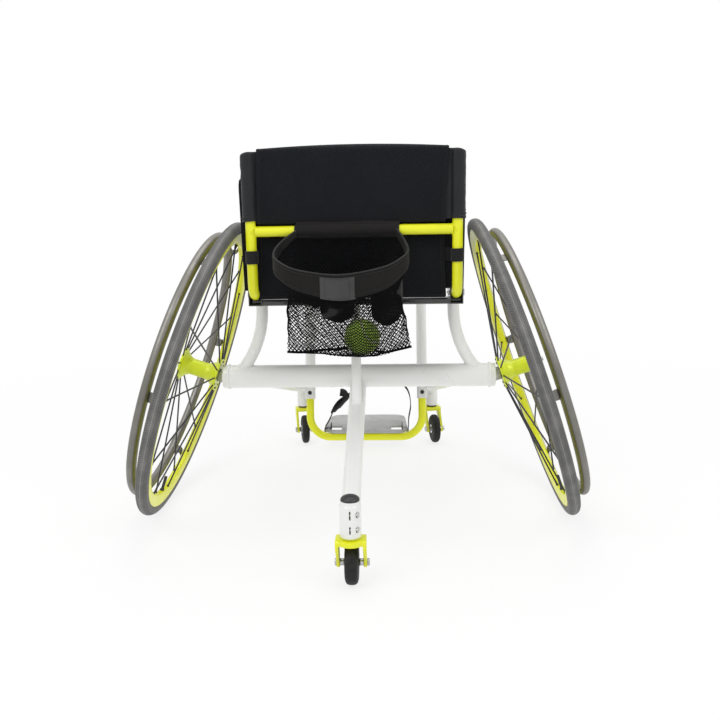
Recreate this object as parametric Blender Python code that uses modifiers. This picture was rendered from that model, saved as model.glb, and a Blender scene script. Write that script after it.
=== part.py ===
"""A court wheelchair: cambered spoked wheels, two front casters, a rear anti-tip caster,
a folding back, a sling seat with a cushion, a height-adjustable footrest and a ball holder.
Metres, +Z up, +Y towards the front, origin on the floor under the middle of the chair.
All lengths below are given from the floor point under the rear axle, which AXLE_Y then shifts.
"""

import math

import bmesh
import bpy
from mathutils import Matrix, Vector

# The gap left between two pieces that touch, and the looser one round a turning pin
CLEAR = 0.0003
RUN_FIT = 0.00035

# Rear wheels
CAMBER = math.radians(18.5)
WHEEL_STANDOFF = 0.0514
TYRE_RING = 0.2932
TYRE_R = 0.0118
RIM_INNER = 0.263
RIM_HALF = 0.0100
RIM_LIP_HALF = 0.0088
PUSHRIM_RING = 0.266
PUSHRIM_R = 0.0091
PUSHRIM_OFFSET = 0.0313
PUSHRIM_TABS = 6
TAB_WIDTH = 0.020
TAB_THICK = 0.003
WHEEL_STEPS = 40
SPOKES = 24
SPOKE_R = 0.00125
HUB_OUT = 0.035
HUB_IN = -0.043
FLANGE_R = 0.033
FLANGE_THICK = 0.004
SPOKE_CIRCLE = 0.0285
HUB_WAIST = 0.0165
BEARING_R = 0.014
BEARING_WIDTH = 0.008
BEARING_SLEEVE_R = 0.010

# Quick-release axles and their push buttons
AXLE_R = 0.00635
AXLE_DEPTH = 0.090
AXLE_HEAD_R = 0.011
AXLE_HEAD = 0.0062
BUTTON_R = 0.0045
BUTTON_OUT = 0.0045
BUTTON_TRAVEL = 0.0035

# Camber tube and its plugs
CAMBER_TUBE_R = 0.023
CAMBER_TUBE_WALL = 0.0025
CAMBER_TUBE_HALF = 0.272
COLLAR_INSET = 0.011
COLLAR_WIDTH = 0.006
COLLAR_RISE = 0.0022
PLUG_R = 0.013
PLUG_LENGTH = 0.043

# Side frames
RAIL_R = 0.0127
RAIL_X = 0.190
RAIL_REAR_Y = -0.037
RAIL_Z = 0.4428
RAIL_SLOPE = 0.13
RAIL_TAPER_Y = 0.300
FRONT_X = 0.140
FRONT_Y = 0.380
FRONT_Z = 0.128
FRONT_SLOPE = 0.304
FRONT_BEND = 0.085
UPRIGHT_R = 0.0115
UPRIGHT_BEND = 0.19
UPRIGHT_TOP_X = 0.189
UPRIGHT_SPLAY = 0.0358
UPRIGHT_TOP_Z = 0.409
LOWER_RAIL_R = 0.0125
LOWER_RAIL_X = 0.205
LOWER_RAIL_Z = 0.265
LOWER_MEET_Z = 0.157

# Front casters
CASTER_X = 0.167
CASTER_Y = 0.455
CASTER_TRAIL = 0.030
CASTER_SWIVEL = math.radians(12)
CASTER_WHEEL_R = 0.036
CASTER_WHEEL_HALF = 0.009
CASTER_STEPS = 16
CASTER_HOUSING_R = 0.0150
CASTER_HOUSING = 0.058
FORK_HALF = 0.0205
FORK_GAP_HALF = 0.0152
FORK_CROWN = 0.009
FORK_TOP = 0.088
FORK_END_R = 0.009
STEM_R = 0.006
STEM_LENGTH = 0.050
SEAL_R = 0.0125
SEAL_HEIGHT = 0.004
CASTER_AXLE_R = 0.004

# Anti-tip caster behind the camber tube
ARM_R = 0.015875
ARM_TOP_Z = 0.262
FIFTH_Y = -0.368
ARM_END_Z = 0.127
FIFTH_HOUSING_R = 0.0175
FIFTH_HOUSING = 0.060
FIFTH_RIM_R = 0.0163
FIFTH_RIM = 0.006
FIFTH_SLIT = 0.0026
PINCH_R = 0.002
PINCH_HEAD_R = 0.0042
PINCH_HEAD = 0.0045
PINCH_Y = -0.0122
PINCH_SEAT_X = 0.0095
PINCH_END_X = -0.009
FIFTH_CAP_R = 0.0155
FIFTH_CAP_RISE = 0.0085
FIFTH_CAP_PLUG = 0.005
FIFTH_TRAIL = 0.018
FIFTH_WHEEL_R = 0.037
FIFTH_WHEEL_HALF = 0.0112
FIFTH_FORK_HALF = 0.0249
FIFTH_FORK_GAP_HALF = 0.0198
FIFTH_CROWN_R = 0.0235
FIFTH_FORK_TOP = 0.087
FIFTH_FORK_CROWN = 0.008
FIFTH_SPACER_R = 0.006
BRACE_R = 0.00925
BRACE_FOOT_Y = -0.097

# Folding back
POST_R = 0.0097
POST_Y = -0.085
POST_TOP = 0.7035
POST_BEND = 0.025
PIVOT_Y = -0.054
PIVOT_Z = 0.4445
PIVOT_R = 0.004
POST_STUB = 0.008
CLEVIS_HALF = 0.0128
CLEVIS_CHEEK = 0.0022
CLEVIS_TOP = 0.456
CLEVIS_FLOOR = 0.4243
CLEVIS_REAR_Y = -0.070
BAR_R = 0.007
BAR_Y = -0.059
BAR_Z = 0.430
CROSSBAR_Z = 0.5646
PANEL_BOTTOM = 0.5835
PANEL_TOP = 0.7075
PANEL_THICK = 0.004
VINYL = 0.0024
PANEL_EDGE = 0.0018
BAND_SHOULDER = 0.018
STRAP_BOTTOM = 0.505
STRAP_TOP = 0.530
STRAP_THICK = 0.002
COVER_THICK = 0.0028
COVER_SIDE_TOP = 0.0083
COVER_SIDE_LOW = 0.0043
COVER_BOTTOM = 0.447
COVER_FRONT_BOTTOM = 0.4705
COVER_FRONT_GAP = 0.0062
COVER_FRONT_TOP = 0.0055
COVER_FRONT_LOW = 0.0018
COVER_CROWN = 0.0055
COVER_FOLD = 0.0045

# Ball holder on the crossbar
SLEEVE_LEFT = -0.108
SLEEVE_RIGHT = 0.083
SLEEVE_WALL = 0.0025
HOLDER_BAND = 0.003
HOLDER_REAR_Y = -0.1715
HOLDER_SIDE_LEFT = -0.143
HOLDER_SIDE_RIGHT = 0.0985
HOLDER_REAR_TOP = 0.4915
HOLDER_REAR_LOW = 0.449
NET_WALL = 0.0014
NET_BOTTOM = 0.3382
NET_LEFT = -0.124
NET_RIGHT = 0.1035
BALL_R = 0.033
BALL_X = 0.014
BALL_Y = -0.1325
BALL_FIT = 0.0012
NET_SEAM = 0.0035

# Seat
SLING_THICK = 0.0025
SLING_HOOK = -16
SLING_REAR = -0.030
SLING_FRONT = 0.262
CUSHION_HALF = 0.168
CUSHION_REAR = -0.002
CUSHION_FRONT = 0.360
CUSHION_HEIGHT = 0.030
CUSHION_CROWN = 0.008
CUSHION_DRAW = 0.004

# Footrest
FOOT_TUBE_R = 0.0095
FOOT_BAR_Z = 0.037
FOOT_BEND = 0.052
FOOT_INSERT = 0.055
FOOT_BORE = 0.095
PLATE_THICK = 0.005
PLATE_REAR = 0.347
PLATE_FRONT = 0.505
PLATE_HALF_REAR = 0.104
PLATE_CHAMFER_X = 0.018
PLATE_CHAMFER_Y = 0.021
PLATE_HALF_FRONT = 0.097
SLOT_Y = 0.381
SLOT_LENGTH = 0.029
SLOT_MARGIN = 0.0125
FOOT_STRAP_WIDTH = 0.025
FOOT_STRAP_PLAY = 0.0045
FOOT_STRAP_THICK = 0.002
STRAP_TWIST = 45
CLAMP_BOLT_R = 0.003
CLAMP_BOLT_HEAD_R = 0.005
CLAMP_BOLT_HEAD = 0.0032

# Places that follow from the sizes above
TYRE_FLAT = math.cos(math.pi / WHEEL_STEPS)
WHEEL_X = CAMBER_TUBE_HALF + WHEEL_STANDOFF
WHEEL_Z = TYRE_RING * math.cos(CAMBER) + TYRE_R
CAMBER_TUBE_Z = WHEEL_Z - WHEEL_STANDOFF * math.tan(CAMBER)
COLLAR_X = CAMBER_TUBE_HALF - COLLAR_INSET
AXLE_Y = -(PLATE_FRONT + FIFTH_Y - FIFTH_CROWN_R) / 2
SIDES = (("left", -1), ("right", 1))

for leftover in list(bpy.data.objects):
    bpy.data.objects.remove(leftover, do_unlink=True)
chair = bpy.data.collections.new("court_wheelchair")
cutters = bpy.data.collections.new("cutters")
bpy.context.scene.collection.children.link(chair)
bpy.context.scene.collection.children.link(cutters)


# Materials

def material(name, colour, roughness, metallic=0.0, coat=0.0):
    made = bpy.data.materials.new(name)
    made.use_nodes = True
    shader = made.node_tree.nodes["Principled BSDF"]
    shader.inputs["Base Color"].default_value = (*colour, 1.0)
    shader.inputs["Roughness"].default_value = roughness
    shader.inputs["Metallic"].default_value = metallic
    shader.inputs["Coat Weight"].default_value = coat
    return made


white_paint = material("white_paint", (0.82, 0.82, 0.80), 0.25, coat=0.6)
yellow_paint = material("yellow_paint", (0.78, 0.80, 0.02), 0.35, coat=0.4)
black_paint = material("black_paint", (0.015, 0.015, 0.016), 0.2, coat=0.6)
spoke_black = material("spoke_black", (0.02, 0.02, 0.02), 0.45, 0.3)
titanium = material("titanium", (0.40, 0.39, 0.36), 0.38, 0.9)
steel = material("steel", (0.60, 0.60, 0.61), 0.25, 1.0)
alloy = material("alloy", (0.66, 0.67, 0.68), 0.4, 1.0)
tyre_rubber = material("tyre_rubber", (0.16, 0.16, 0.165), 0.8)
caster_rubber = material("caster_rubber", (0.02, 0.02, 0.022), 0.45)
black_plastic = material("black_plastic", (0.015, 0.015, 0.015), 0.35)
grey_plate = material("grey_plate", (0.45, 0.45, 0.46), 0.5, 0.4)
vinyl = material("vinyl", (0.02, 0.02, 0.022), 0.45)
mesh_cloth = material("mesh_cloth", (0.012, 0.013, 0.016), 0.9)
webbing = material("webbing", (0.012, 0.012, 0.012), 0.85)
neoprene = material("neoprene", (0.02, 0.019, 0.018), 0.8)
net_cord = material("net_cord", (0.01, 0.01, 0.01), 0.8)
ball_felt = material("ball_felt", (0.20, 0.36, 0.06), 0.95)


# Empties that carry the pieces: one for the whole chair and one on each moving joint

frames = {}


def pivot(name, location, rotation=(0.0, 0.0, 0.0)):
    empty = bpy.data.objects.new(name, None)
    empty.empty_display_size = 0.03
    chair.objects.link(empty)
    turn = Matrix.Rotation(rotation[2], 4, "Z")
    turn = turn @ Matrix.Rotation(rotation[1], 4, "Y") @ Matrix.Rotation(rotation[0], 4, "X")
    frames[empty] = Matrix.Translation(location) @ turn
    if len(frames) > 1:
        empty.parent = chair_frame
    empty.location = location
    empty.rotation_euler = rotation
    return empty


chair_frame = pivot("chair_frame", (0.0, 0.0, 0.0))
chair_frame.location.y = AXLE_Y


def carry(obj, empty):
    """Hangs an object that was modelled in the chair's frame on an empty, where it stands."""
    obj.parent = empty
    if empty is not chair_frame:
        obj.matrix_parent_inverse = frames[empty].inverted()
    return obj


def mount(obj, empty, location=(0.0, 0.0, 0.0), rotation=(0.0, 0.0, 0.0)):
    """Hangs an object that was modelled in the empty's own frame on that empty."""
    obj.parent = empty
    obj.location = location
    obj.rotation_euler = rotation
    return obj


# Modelling helpers

def finish(mesh, name, look, smooth=40.0):
    obj = bpy.data.objects.new(name, mesh)
    chair.objects.link(obj)
    mesh.materials.clear()
    mesh.materials.append(look)
    mesh.shade_smooth()
    mesh.set_sharp_from_angle(angle=math.radians(smooth))
    return obj


def from_bmesh(shape, name, look, smooth=40.0):
    bmesh.ops.recalc_face_normals(shape, faces=shape.faces)
    mesh = bpy.data.meshes.new(name)
    shape.to_mesh(mesh)
    shape.free()
    return finish(mesh, name, look, smooth)


def between(start, end):
    """The matrix that stands a +Z shape on the line between two points, at its middle."""
    start = Vector(start)
    end = Vector(end)
    turn = (end - start).to_track_quat("Z", "Y").to_matrix().to_4x4()
    return Matrix.Translation((start + end) / 2) @ turn


def rod_shape(shape, start, end, radius, sides):
    length = (Vector(end) - Vector(start)).length
    bmesh.ops.create_cone(
        shape,
        cap_ends=True,
        segments=sides,
        radius1=radius,
        radius2=radius,
        depth=length,
        matrix=between(start, end),
    )


def rod(name, look, start, end, radius, sides=16):
    shape = bmesh.new()
    rod_shape(shape, start, end, radius, sides)
    return from_bmesh(shape, name, look)


def block(name, look, low, high):
    shape = bmesh.new()
    size = Vector(high) - Vector(low)
    middle = (Vector(high) + Vector(low)) / 2
    place = Matrix.Translation(middle) @ Matrix.Diagonal((*size, 1.0))
    bmesh.ops.create_cube(shape, size=1.0, matrix=place)
    return from_bmesh(shape, name, look)


def turned(name, look, outline, steps=32, start=0.0, closed=False):
    """A shape turned about +Z from (radius, height) points that run down its outer side."""
    mesh = bpy.data.meshes.new(name)
    points = [(r * math.cos(start), r * math.sin(start), z) for r, z in outline]
    edges = [(i, i + 1) for i in range(len(points) - 1)]
    if closed:
        edges.append((len(points) - 1, 0))
    mesh.from_pydata(points, edges, [])
    obj = bpy.data.objects.new(name, mesh)
    chair.objects.link(obj)
    mesh.materials.append(look)
    screw = obj.modifiers.new("turn", "SCREW")
    screw.steps = steps
    screw.render_steps = steps
    screw.use_merge_vertices = True
    screw.merge_threshold = 0.00001
    screw.use_smooth_shade = True
    return obj


def bent(points, bends, steps=6):
    """The points of a bent tube's centre line: straight runs joined by arcs of the given radii."""
    points = [Vector(p) for p in points]
    line = [points[0]]
    for before, corner, after, radius in zip(points, points[1:], points[2:], bends):
        into = (before - corner).normalized()
        out = (after - corner).normalized()
        half = into.angle(out) / 2
        reach = radius / math.tan(half)
        centre = corner + (into + out).normalized() * (radius / math.sin(half))
        first = corner + into * reach - centre
        last = corner + out * reach - centre
        sweep = first.angle(last)
        for i in range(steps + 1):
            share = i / steps
            mixed = first * math.sin((1 - share) * sweep) + last * math.sin(share * sweep)
            line.append(centre + mixed / math.sin(sweep))
    line.append(points[-1])
    return line


def tube(name, look, line, radius, resolution=4):
    """A round bar along a line of points, as a welded mesh that can be cut and joined."""
    curve = bpy.data.curves.new(name, "CURVE")
    curve.dimensions = "3D"
    curve.bevel_depth = radius
    curve.bevel_resolution = resolution
    curve.use_fill_caps = True
    spline = curve.splines.new("POLY")
    spline.points.add(len(line) - 1)
    for point, place in zip(spline.points, line):
        point.co = (*place, 1.0)
    drawn = bpy.data.objects.new(name + "_line", curve)
    chair.objects.link(drawn)
    graph = bpy.context.evaluated_depsgraph_get()
    mesh = bpy.data.meshes.new_from_object(drawn.evaluated_get(graph))
    bpy.data.objects.remove(drawn, do_unlink=True)
    bpy.data.curves.remove(curve)
    shape = bmesh.new()
    shape.from_mesh(mesh)
    bpy.data.meshes.remove(mesh)
    bmesh.ops.remove_doubles(shape, verts=shape.verts, dist=0.000001)
    return from_bmesh(shape, name, look)


def outline_plate(name, look, loops, thickness):
    """A flat outline with its holes, as a filled 2D curve with half its thickness each way."""
    curve = bpy.data.curves.new(name, "CURVE")
    curve.dimensions = "2D"
    curve.fill_mode = "BOTH"
    curve.extrude = thickness / 2
    for loop in loops:
        spline = curve.splines.new("POLY")
        spline.points.add(len(loop) - 1)
        for point, (x, y) in zip(spline.points, loop):
            point.co = (x, y, 0.0, 1.0)
        spline.use_cyclic_u = True
    drawn = bpy.data.objects.new(name + "_outline", curve)
    chair.objects.link(drawn)
    graph = bpy.context.evaluated_depsgraph_get()
    mesh = bpy.data.meshes.new_from_object(drawn.evaluated_get(graph))
    bpy.data.objects.remove(drawn, do_unlink=True)
    bpy.data.curves.remove(curve)
    shape = bmesh.new()
    shape.from_mesh(mesh)
    bpy.data.meshes.remove(mesh)
    bmesh.ops.remove_doubles(shape, verts=shape.verts, dist=0.000001)
    return from_bmesh(shape, name, look)


def arc(centre, radius, start, end, steps):
    """Points of an arc in a plane, from one angle in degrees to another."""
    angles = [math.radians(start + (end - start) * i / steps) for i in range(steps + 1)]
    return [(centre[0] + radius * math.cos(a), centre[1] + radius * math.sin(a)) for a in angles]


def rounded(corners, radii, steps=4):
    """A flat outline with its corners rounded."""
    loop = []
    count = len(corners)
    for i in range(count):
        before = Vector(corners[i - 1])
        corner = Vector(corners[i])
        after = Vector(corners[(i + 1) % count])
        into = (before - corner).normalized()
        out = (after - corner).normalized()
        half = into.angle(out) / 2
        centre = corner + (into + out).normalized() * (radii[i] / math.sin(half))
        first = corner + into * (radii[i] / math.tan(half)) - centre
        last = corner + out * (radii[i] / math.tan(half)) - centre
        sweep = first.angle(last)
        for k in range(steps + 1):
            share = k / steps
            mixed = first * math.sin((1 - share) * sweep) + last * math.sin(share * sweep)
            loop.append(tuple(centre + mixed / math.sin(sweep)))
    return loop


def boolean(target, other, operation, keep_place=False):
    """Cuts or joins with another object, which becomes a hidden helper beside its target."""
    modifier = target.modifiers.new(operation.lower(), "BOOLEAN")
    modifier.operation = operation
    modifier.solver = "EXACT"
    modifier.object = other
    other.hide_render = True
    other.display_type = "WIRE"
    if not keep_place:
        chair.objects.unlink(other)
        cutters.objects.link(other)
    return target


def settle(obj):
    """Replaces an object's modifiers by the mesh that they make, and drops its helpers."""
    graph = bpy.context.evaluated_depsgraph_get()
    mesh = bpy.data.meshes.new_from_object(obj.evaluated_get(graph))
    helpers = [m.object for m in obj.modifiers if m.type == "BOOLEAN"]
    obj.modifiers.clear()
    old = obj.data
    obj.data = mesh
    mesh.name = obj.name
    bpy.data.meshes.remove(old)
    for helper in helpers:
        bpy.data.objects.remove(helper, do_unlink=True)
    mesh.shade_smooth()
    mesh.set_sharp_from_angle(angle=math.radians(40))
    return obj


def cut(target, other):
    return boolean(target, other, "DIFFERENCE")


def join(target, other):
    return boolean(target, other, "UNION")


def cutting_rod(start, end, radius, sides=24, clear=CLEAR):
    """A cutter that clears a round bar of this radius all round."""
    return rod("cutter", steel, start, end, (radius + clear) / math.cos(math.pi / sides), sides)


def smooth_line(knots, steps):
    """A smooth line through the given points (Catmull-Rom)."""
    knots = [Vector(k) for k in knots]
    padded = [2 * knots[0] - knots[1]] + knots + [2 * knots[-1] - knots[-2]]
    line = []
    for a, b, c, d in zip(padded, padded[1:], padded[2:], padded[3:]):
        for i in range(steps):
            t = i / steps
            line.append(
                0.5 * (2 * b + (c - a) * t + (2 * a - 5 * b + 4 * c - d) * t * t
                       + (3 * b - a - 3 * c + d) * t * t * t)
            )
    line.append(knots[-1])
    return line


def surface(name, look, rows):
    """A skin through rows of points, the base of a shell."""
    shape = bmesh.new()
    grid = [[shape.verts.new(p) for p in row] for row in rows]
    for lower, upper in zip(grid, grid[1:]):
        for i in range(len(lower) - 1):
            shape.faces.new((lower[i], lower[i + 1], upper[i + 1], upper[i]))
    return from_bmesh(shape, name, look)


def shell(obj, thickness, offset):
    modifier = obj.modifiers.new("shell", "SOLIDIFY")
    modifier.thickness = thickness
    modifier.offset = offset
    modifier.use_even_offset = True
    return obj


# Empties on the joints

wheel_pivots = {}
caster_pivots = {}
caster_axle_pivots = {}
for side, sign in SIDES:
    turn = (0.0, sign * (math.pi / 2 - CAMBER), 0.0)
    wheel_pivots[side] = pivot(f"wheel_{side}_axis", (sign * WHEEL_X, 0.0, WHEEL_Z), turn)
    caster_pivots[side] = pivot(
        f"caster_{side}_swivel", (sign * CASTER_X, CASTER_Y, 0.0), (0.0, 0.0, CASTER_SWIVEL)
    )
fifth_pivot = pivot("fifth_swivel", (0.0, FIFTH_Y, 0.0))
back_pivot = pivot("back_fold", (0.0, PIVOT_Y, PIVOT_Z))
foot_pivot = pivot("footrest_height", (0.0, FRONT_Y, FRONT_Z))


# Rear wheels, modelled about +Z, which points out along the axle

def ring_step(radius):
    """The corner radius of a faceted ring whose flats lie at this radius."""
    return radius / TYRE_FLAT


def tyre_section():
    """The tyre's section, with one corner pointing straight down where the wheel stands."""
    section = []
    for k in range(3, -4, -1):
        angle = math.radians(36.0 * k) - CAMBER
        section.append((TYRE_RING + TYRE_R * math.cos(angle), TYRE_R * math.sin(angle)))
    return section


HALF_STEP = math.pi / WHEEL_STEPS
RIM_OUTER = min(r for r, z in tyre_section()) - CLEAR


def wheel_axle_point(sign, along):
    """A point on a wheel's axle line, this far out from the wheel's middle."""
    return Vector((
        sign * (WHEEL_X + along * math.cos(CAMBER)), 0.0, WHEEL_Z + along * math.sin(CAMBER)
    ))


def build_wheel(side, sign):
    carrier = wheel_pivots[side]
    tyre = turned(
        f"tyre_{side}", tyre_rubber, [(ring_step(r), z) for r, z in tyre_section()],
        WHEEL_STEPS, HALF_STEP, closed=True,
    )
    mount(tyre, carrier)

    rim_section = [
        (RIM_OUTER, RIM_LIP_HALF),
        (RIM_OUTER, -RIM_LIP_HALF),
        (RIM_OUTER - 0.0045, -RIM_HALF),
        (RIM_INNER, -RIM_HALF),
        (RIM_INNER, RIM_HALF),
        (RIM_OUTER - 0.0045, RIM_HALF),
    ]
    rim = turned(
        f"rim_{side}", yellow_paint, [(ring_step(r), z) for r, z in rim_section],
        WHEEL_STEPS, HALF_STEP, closed=True,
    )
    mount(rim, carrier)

    hub = turned(
        f"hub_spokes_{side}", yellow_paint,
        [
            (AXLE_R + 0.0035, HUB_OUT - BEARING_WIDTH - CLEAR),
            (BEARING_R + CLEAR, HUB_OUT - BEARING_WIDTH - CLEAR),
            (BEARING_R + CLEAR, HUB_OUT),
            (FLANGE_R, HUB_OUT),
            (FLANGE_R, HUB_OUT - FLANGE_THICK),
            (HUB_WAIST, HUB_OUT - 0.020),
            (HUB_WAIST, HUB_IN + 0.026),
            (FLANGE_R, HUB_IN + FLANGE_THICK),
            (FLANGE_R, HUB_IN),
            (BEARING_R + CLEAR, HUB_IN),
            (BEARING_R + CLEAR, HUB_IN + BEARING_WIDTH + CLEAR),
            (AXLE_R + 0.0035, HUB_IN + BEARING_WIDTH + CLEAR),
        ],
        20, closed=True,
    )
    spokes = bmesh.new()
    for k in range(SPOKES):
        angle = 2 * math.pi * k / SPOKES
        out = Vector((math.cos(angle), math.sin(angle), 0.0))
        height = HUB_IN + FLANGE_THICK / 2 if k % 2 == 0 else HUB_OUT - FLANGE_THICK / 2
        foot = out * SPOKE_CIRCLE + Vector((0.0, 0.0, height))
        end = out * (RIM_INNER - 2 * CLEAR) + Vector((0.0, 0.0, 0.004 if k % 2 else -0.004))
        rod_shape(spokes, foot, end, SPOKE_R, 5)
    join(hub, mount(from_bmesh(spokes, "spokes", spoke_black), carrier))
    mount(hub, carrier)

    race = AXLE_R + RUN_FIT
    bearings = turned(
        f"bearing_set_{side}", steel,
        [
            (race, HUB_OUT - CLEAR),
            (BEARING_R, HUB_OUT - CLEAR),
            (BEARING_R, HUB_OUT - BEARING_WIDTH),
            (AXLE_R + 0.003, HUB_OUT - BEARING_WIDTH),
            (AXLE_R + 0.003, HUB_IN + BEARING_WIDTH),
            (BEARING_R, HUB_IN + BEARING_WIDTH),
            (BEARING_R, HUB_IN + CLEAR),
            (race, HUB_IN + CLEAR),
        ],
        16, closed=True,
    )
    mount(bearings, carrier)

    pushrim = turned(
        f"pushrim_{side}", titanium,
        [
            (
                ring_step(PUSHRIM_RING + PUSHRIM_R * math.cos(math.radians(60 * k))),
                PUSHRIM_OFFSET - PUSHRIM_R * math.sin(math.radians(60 * k)),
            )
            for k in range(6)
        ],
        WHEEL_STEPS, HALF_STEP, closed=True,
    )
    tabs = bmesh.new()
    reach = PUSHRIM_OFFSET - RIM_HALF - CLEAR
    for k in range(PUSHRIM_TABS):
        angle = 2 * math.pi * (k + 0.5) / PUSHRIM_TABS
        place = (
            Matrix.Rotation(angle, 4, "Z")
            @ Matrix.Translation((PUSHRIM_RING + TAB_THICK / 2, 0.0, RIM_HALF + CLEAR + reach / 2))
            @ Matrix.Diagonal((TAB_THICK, TAB_WIDTH, reach, 1.0))
        )
        bmesh.ops.create_cube(tabs, size=1.0, matrix=place)
    join(pushrim, mount(from_bmesh(tabs, "tabs", titanium), carrier))
    mount(pushrim, carrier)


for side, sign in SIDES:
    build_wheel(side, sign)


# Camber tube, its plugs, the quick-release axles and their buttons

def on_x(outline, name, look, steps=24):
    """A shape turned about +X at the height of the camber tube."""
    obj = turned(name, look, outline, steps, closed=True)
    obj.rotation_euler = (0.0, math.pi / 2, 0.0)
    obj.location = (0.0, 0.0, CAMBER_TUBE_Z)
    return obj


tube_bore = CAMBER_TUBE_R - CAMBER_TUBE_WALL
collar_top = CAMBER_TUBE_R + COLLAR_RISE
camber_tube = on_x(
    [
        (tube_bore, CAMBER_TUBE_HALF),
        (CAMBER_TUBE_R, CAMBER_TUBE_HALF),
        (CAMBER_TUBE_R, COLLAR_X + COLLAR_WIDTH / 2),
        (collar_top, COLLAR_X + COLLAR_WIDTH / 2),
        (collar_top, COLLAR_X - COLLAR_WIDTH / 2),
        (CAMBER_TUBE_R, COLLAR_X - COLLAR_WIDTH / 2),
        (CAMBER_TUBE_R, -COLLAR_X + COLLAR_WIDTH / 2),
        (collar_top, -COLLAR_X + COLLAR_WIDTH / 2),
        (collar_top, -COLLAR_X - COLLAR_WIDTH / 2),
        (CAMBER_TUBE_R, -COLLAR_X - COLLAR_WIDTH / 2),
        (CAMBER_TUBE_R, -CAMBER_TUBE_HALF),
        (tube_bore, -CAMBER_TUBE_HALF),
    ],
    "camber_tube", white_paint, 24,
)
camber_tube.parent = chair_frame

for side, sign in SIDES:
    body_end = (sign * (CAMBER_TUBE_HALF - CLEAR), 0.0, CAMBER_TUBE_Z)
    plug = rod(
        f"camber_plug_{side}", alloy,
        (sign * (CAMBER_TUBE_HALF - PLUG_LENGTH), 0.0, CAMBER_TUBE_Z), body_end,
        tube_bore - CLEAR - 0.0002, 24,
    )
    face = wheel_axle_point(sign, HUB_IN - CLEAR)
    root = wheel_axle_point(sign, HUB_IN - CLEAR - 0.022)
    join(plug, rod("boss", alloy, root, face, PLUG_R, 24))
    bottom = wheel_axle_point(sign, -AXLE_DEPTH - 0.003)
    beyond = wheel_axle_point(sign, HUB_IN + 0.02)
    cut(plug, cutting_rod(bottom, beyond, AXLE_R, 20))
    carry(settle(plug), chair_frame)

    carrier = wheel_pivots[side]
    head_top = HUB_OUT + AXLE_HEAD
    axle = turned(
        f"axle_pin_{side}", steel,
        [
            (0.0, HUB_OUT - 0.0002),
            (BUTTON_R + 0.0003, HUB_OUT - 0.0002),
            (BUTTON_R + 0.0003, head_top),
            (AXLE_HEAD_R - 0.0012, head_top),
            (AXLE_HEAD_R, head_top - 0.0012),
            (AXLE_HEAD_R, HUB_OUT + CLEAR),
            (AXLE_R, HUB_OUT + CLEAR),
            (AXLE_R, -AXLE_DEPTH),
            (0.0, -AXLE_DEPTH),
        ],
        16,
    )
    mount(axle, carrier)
    button = turned(
        f"axle_button_{side}", steel,
        [
            (0.0, head_top + BUTTON_OUT),
            (BUTTON_R - 0.0008, head_top + BUTTON_OUT),
            (BUTTON_R, head_top + BUTTON_OUT - 0.0008),
            (BUTTON_R, HUB_OUT + 0.0038),
            (0.0, HUB_OUT + 0.0038),
        ],
        16,
    )
    mount(button, carrier)


# Side frames: seat rails, rear uprights, lower rails

def rail_height(y):
    return RAIL_Z + RAIL_SLOPE * y


def front_y(height):
    return FRONT_Y + FRONT_SLOPE * (height - FRONT_Z)


corner_y = (front_y(0.0) + FRONT_SLOPE * RAIL_Z) / (1 - FRONT_SLOPE * RAIL_SLOPE)
front_along = Vector((0.0, FRONT_SLOPE, 1.0)).normalized()
rearwards = Vector((0.0, -1.0, FRONT_SLOPE)).normalized()
BOLT_Z = FRONT_Z + 0.014
meet_y = front_y(LOWER_MEET_Z)
meet_x = FRONT_X + (RAIL_R + LOWER_RAIL_R + CLEAR + 0.0002) / 0.994
housing_low = FORK_TOP + SEAL_HEIGHT + 2 * CLEAR
housing_mid = housing_low + CASTER_HOUSING * 0.72

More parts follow.
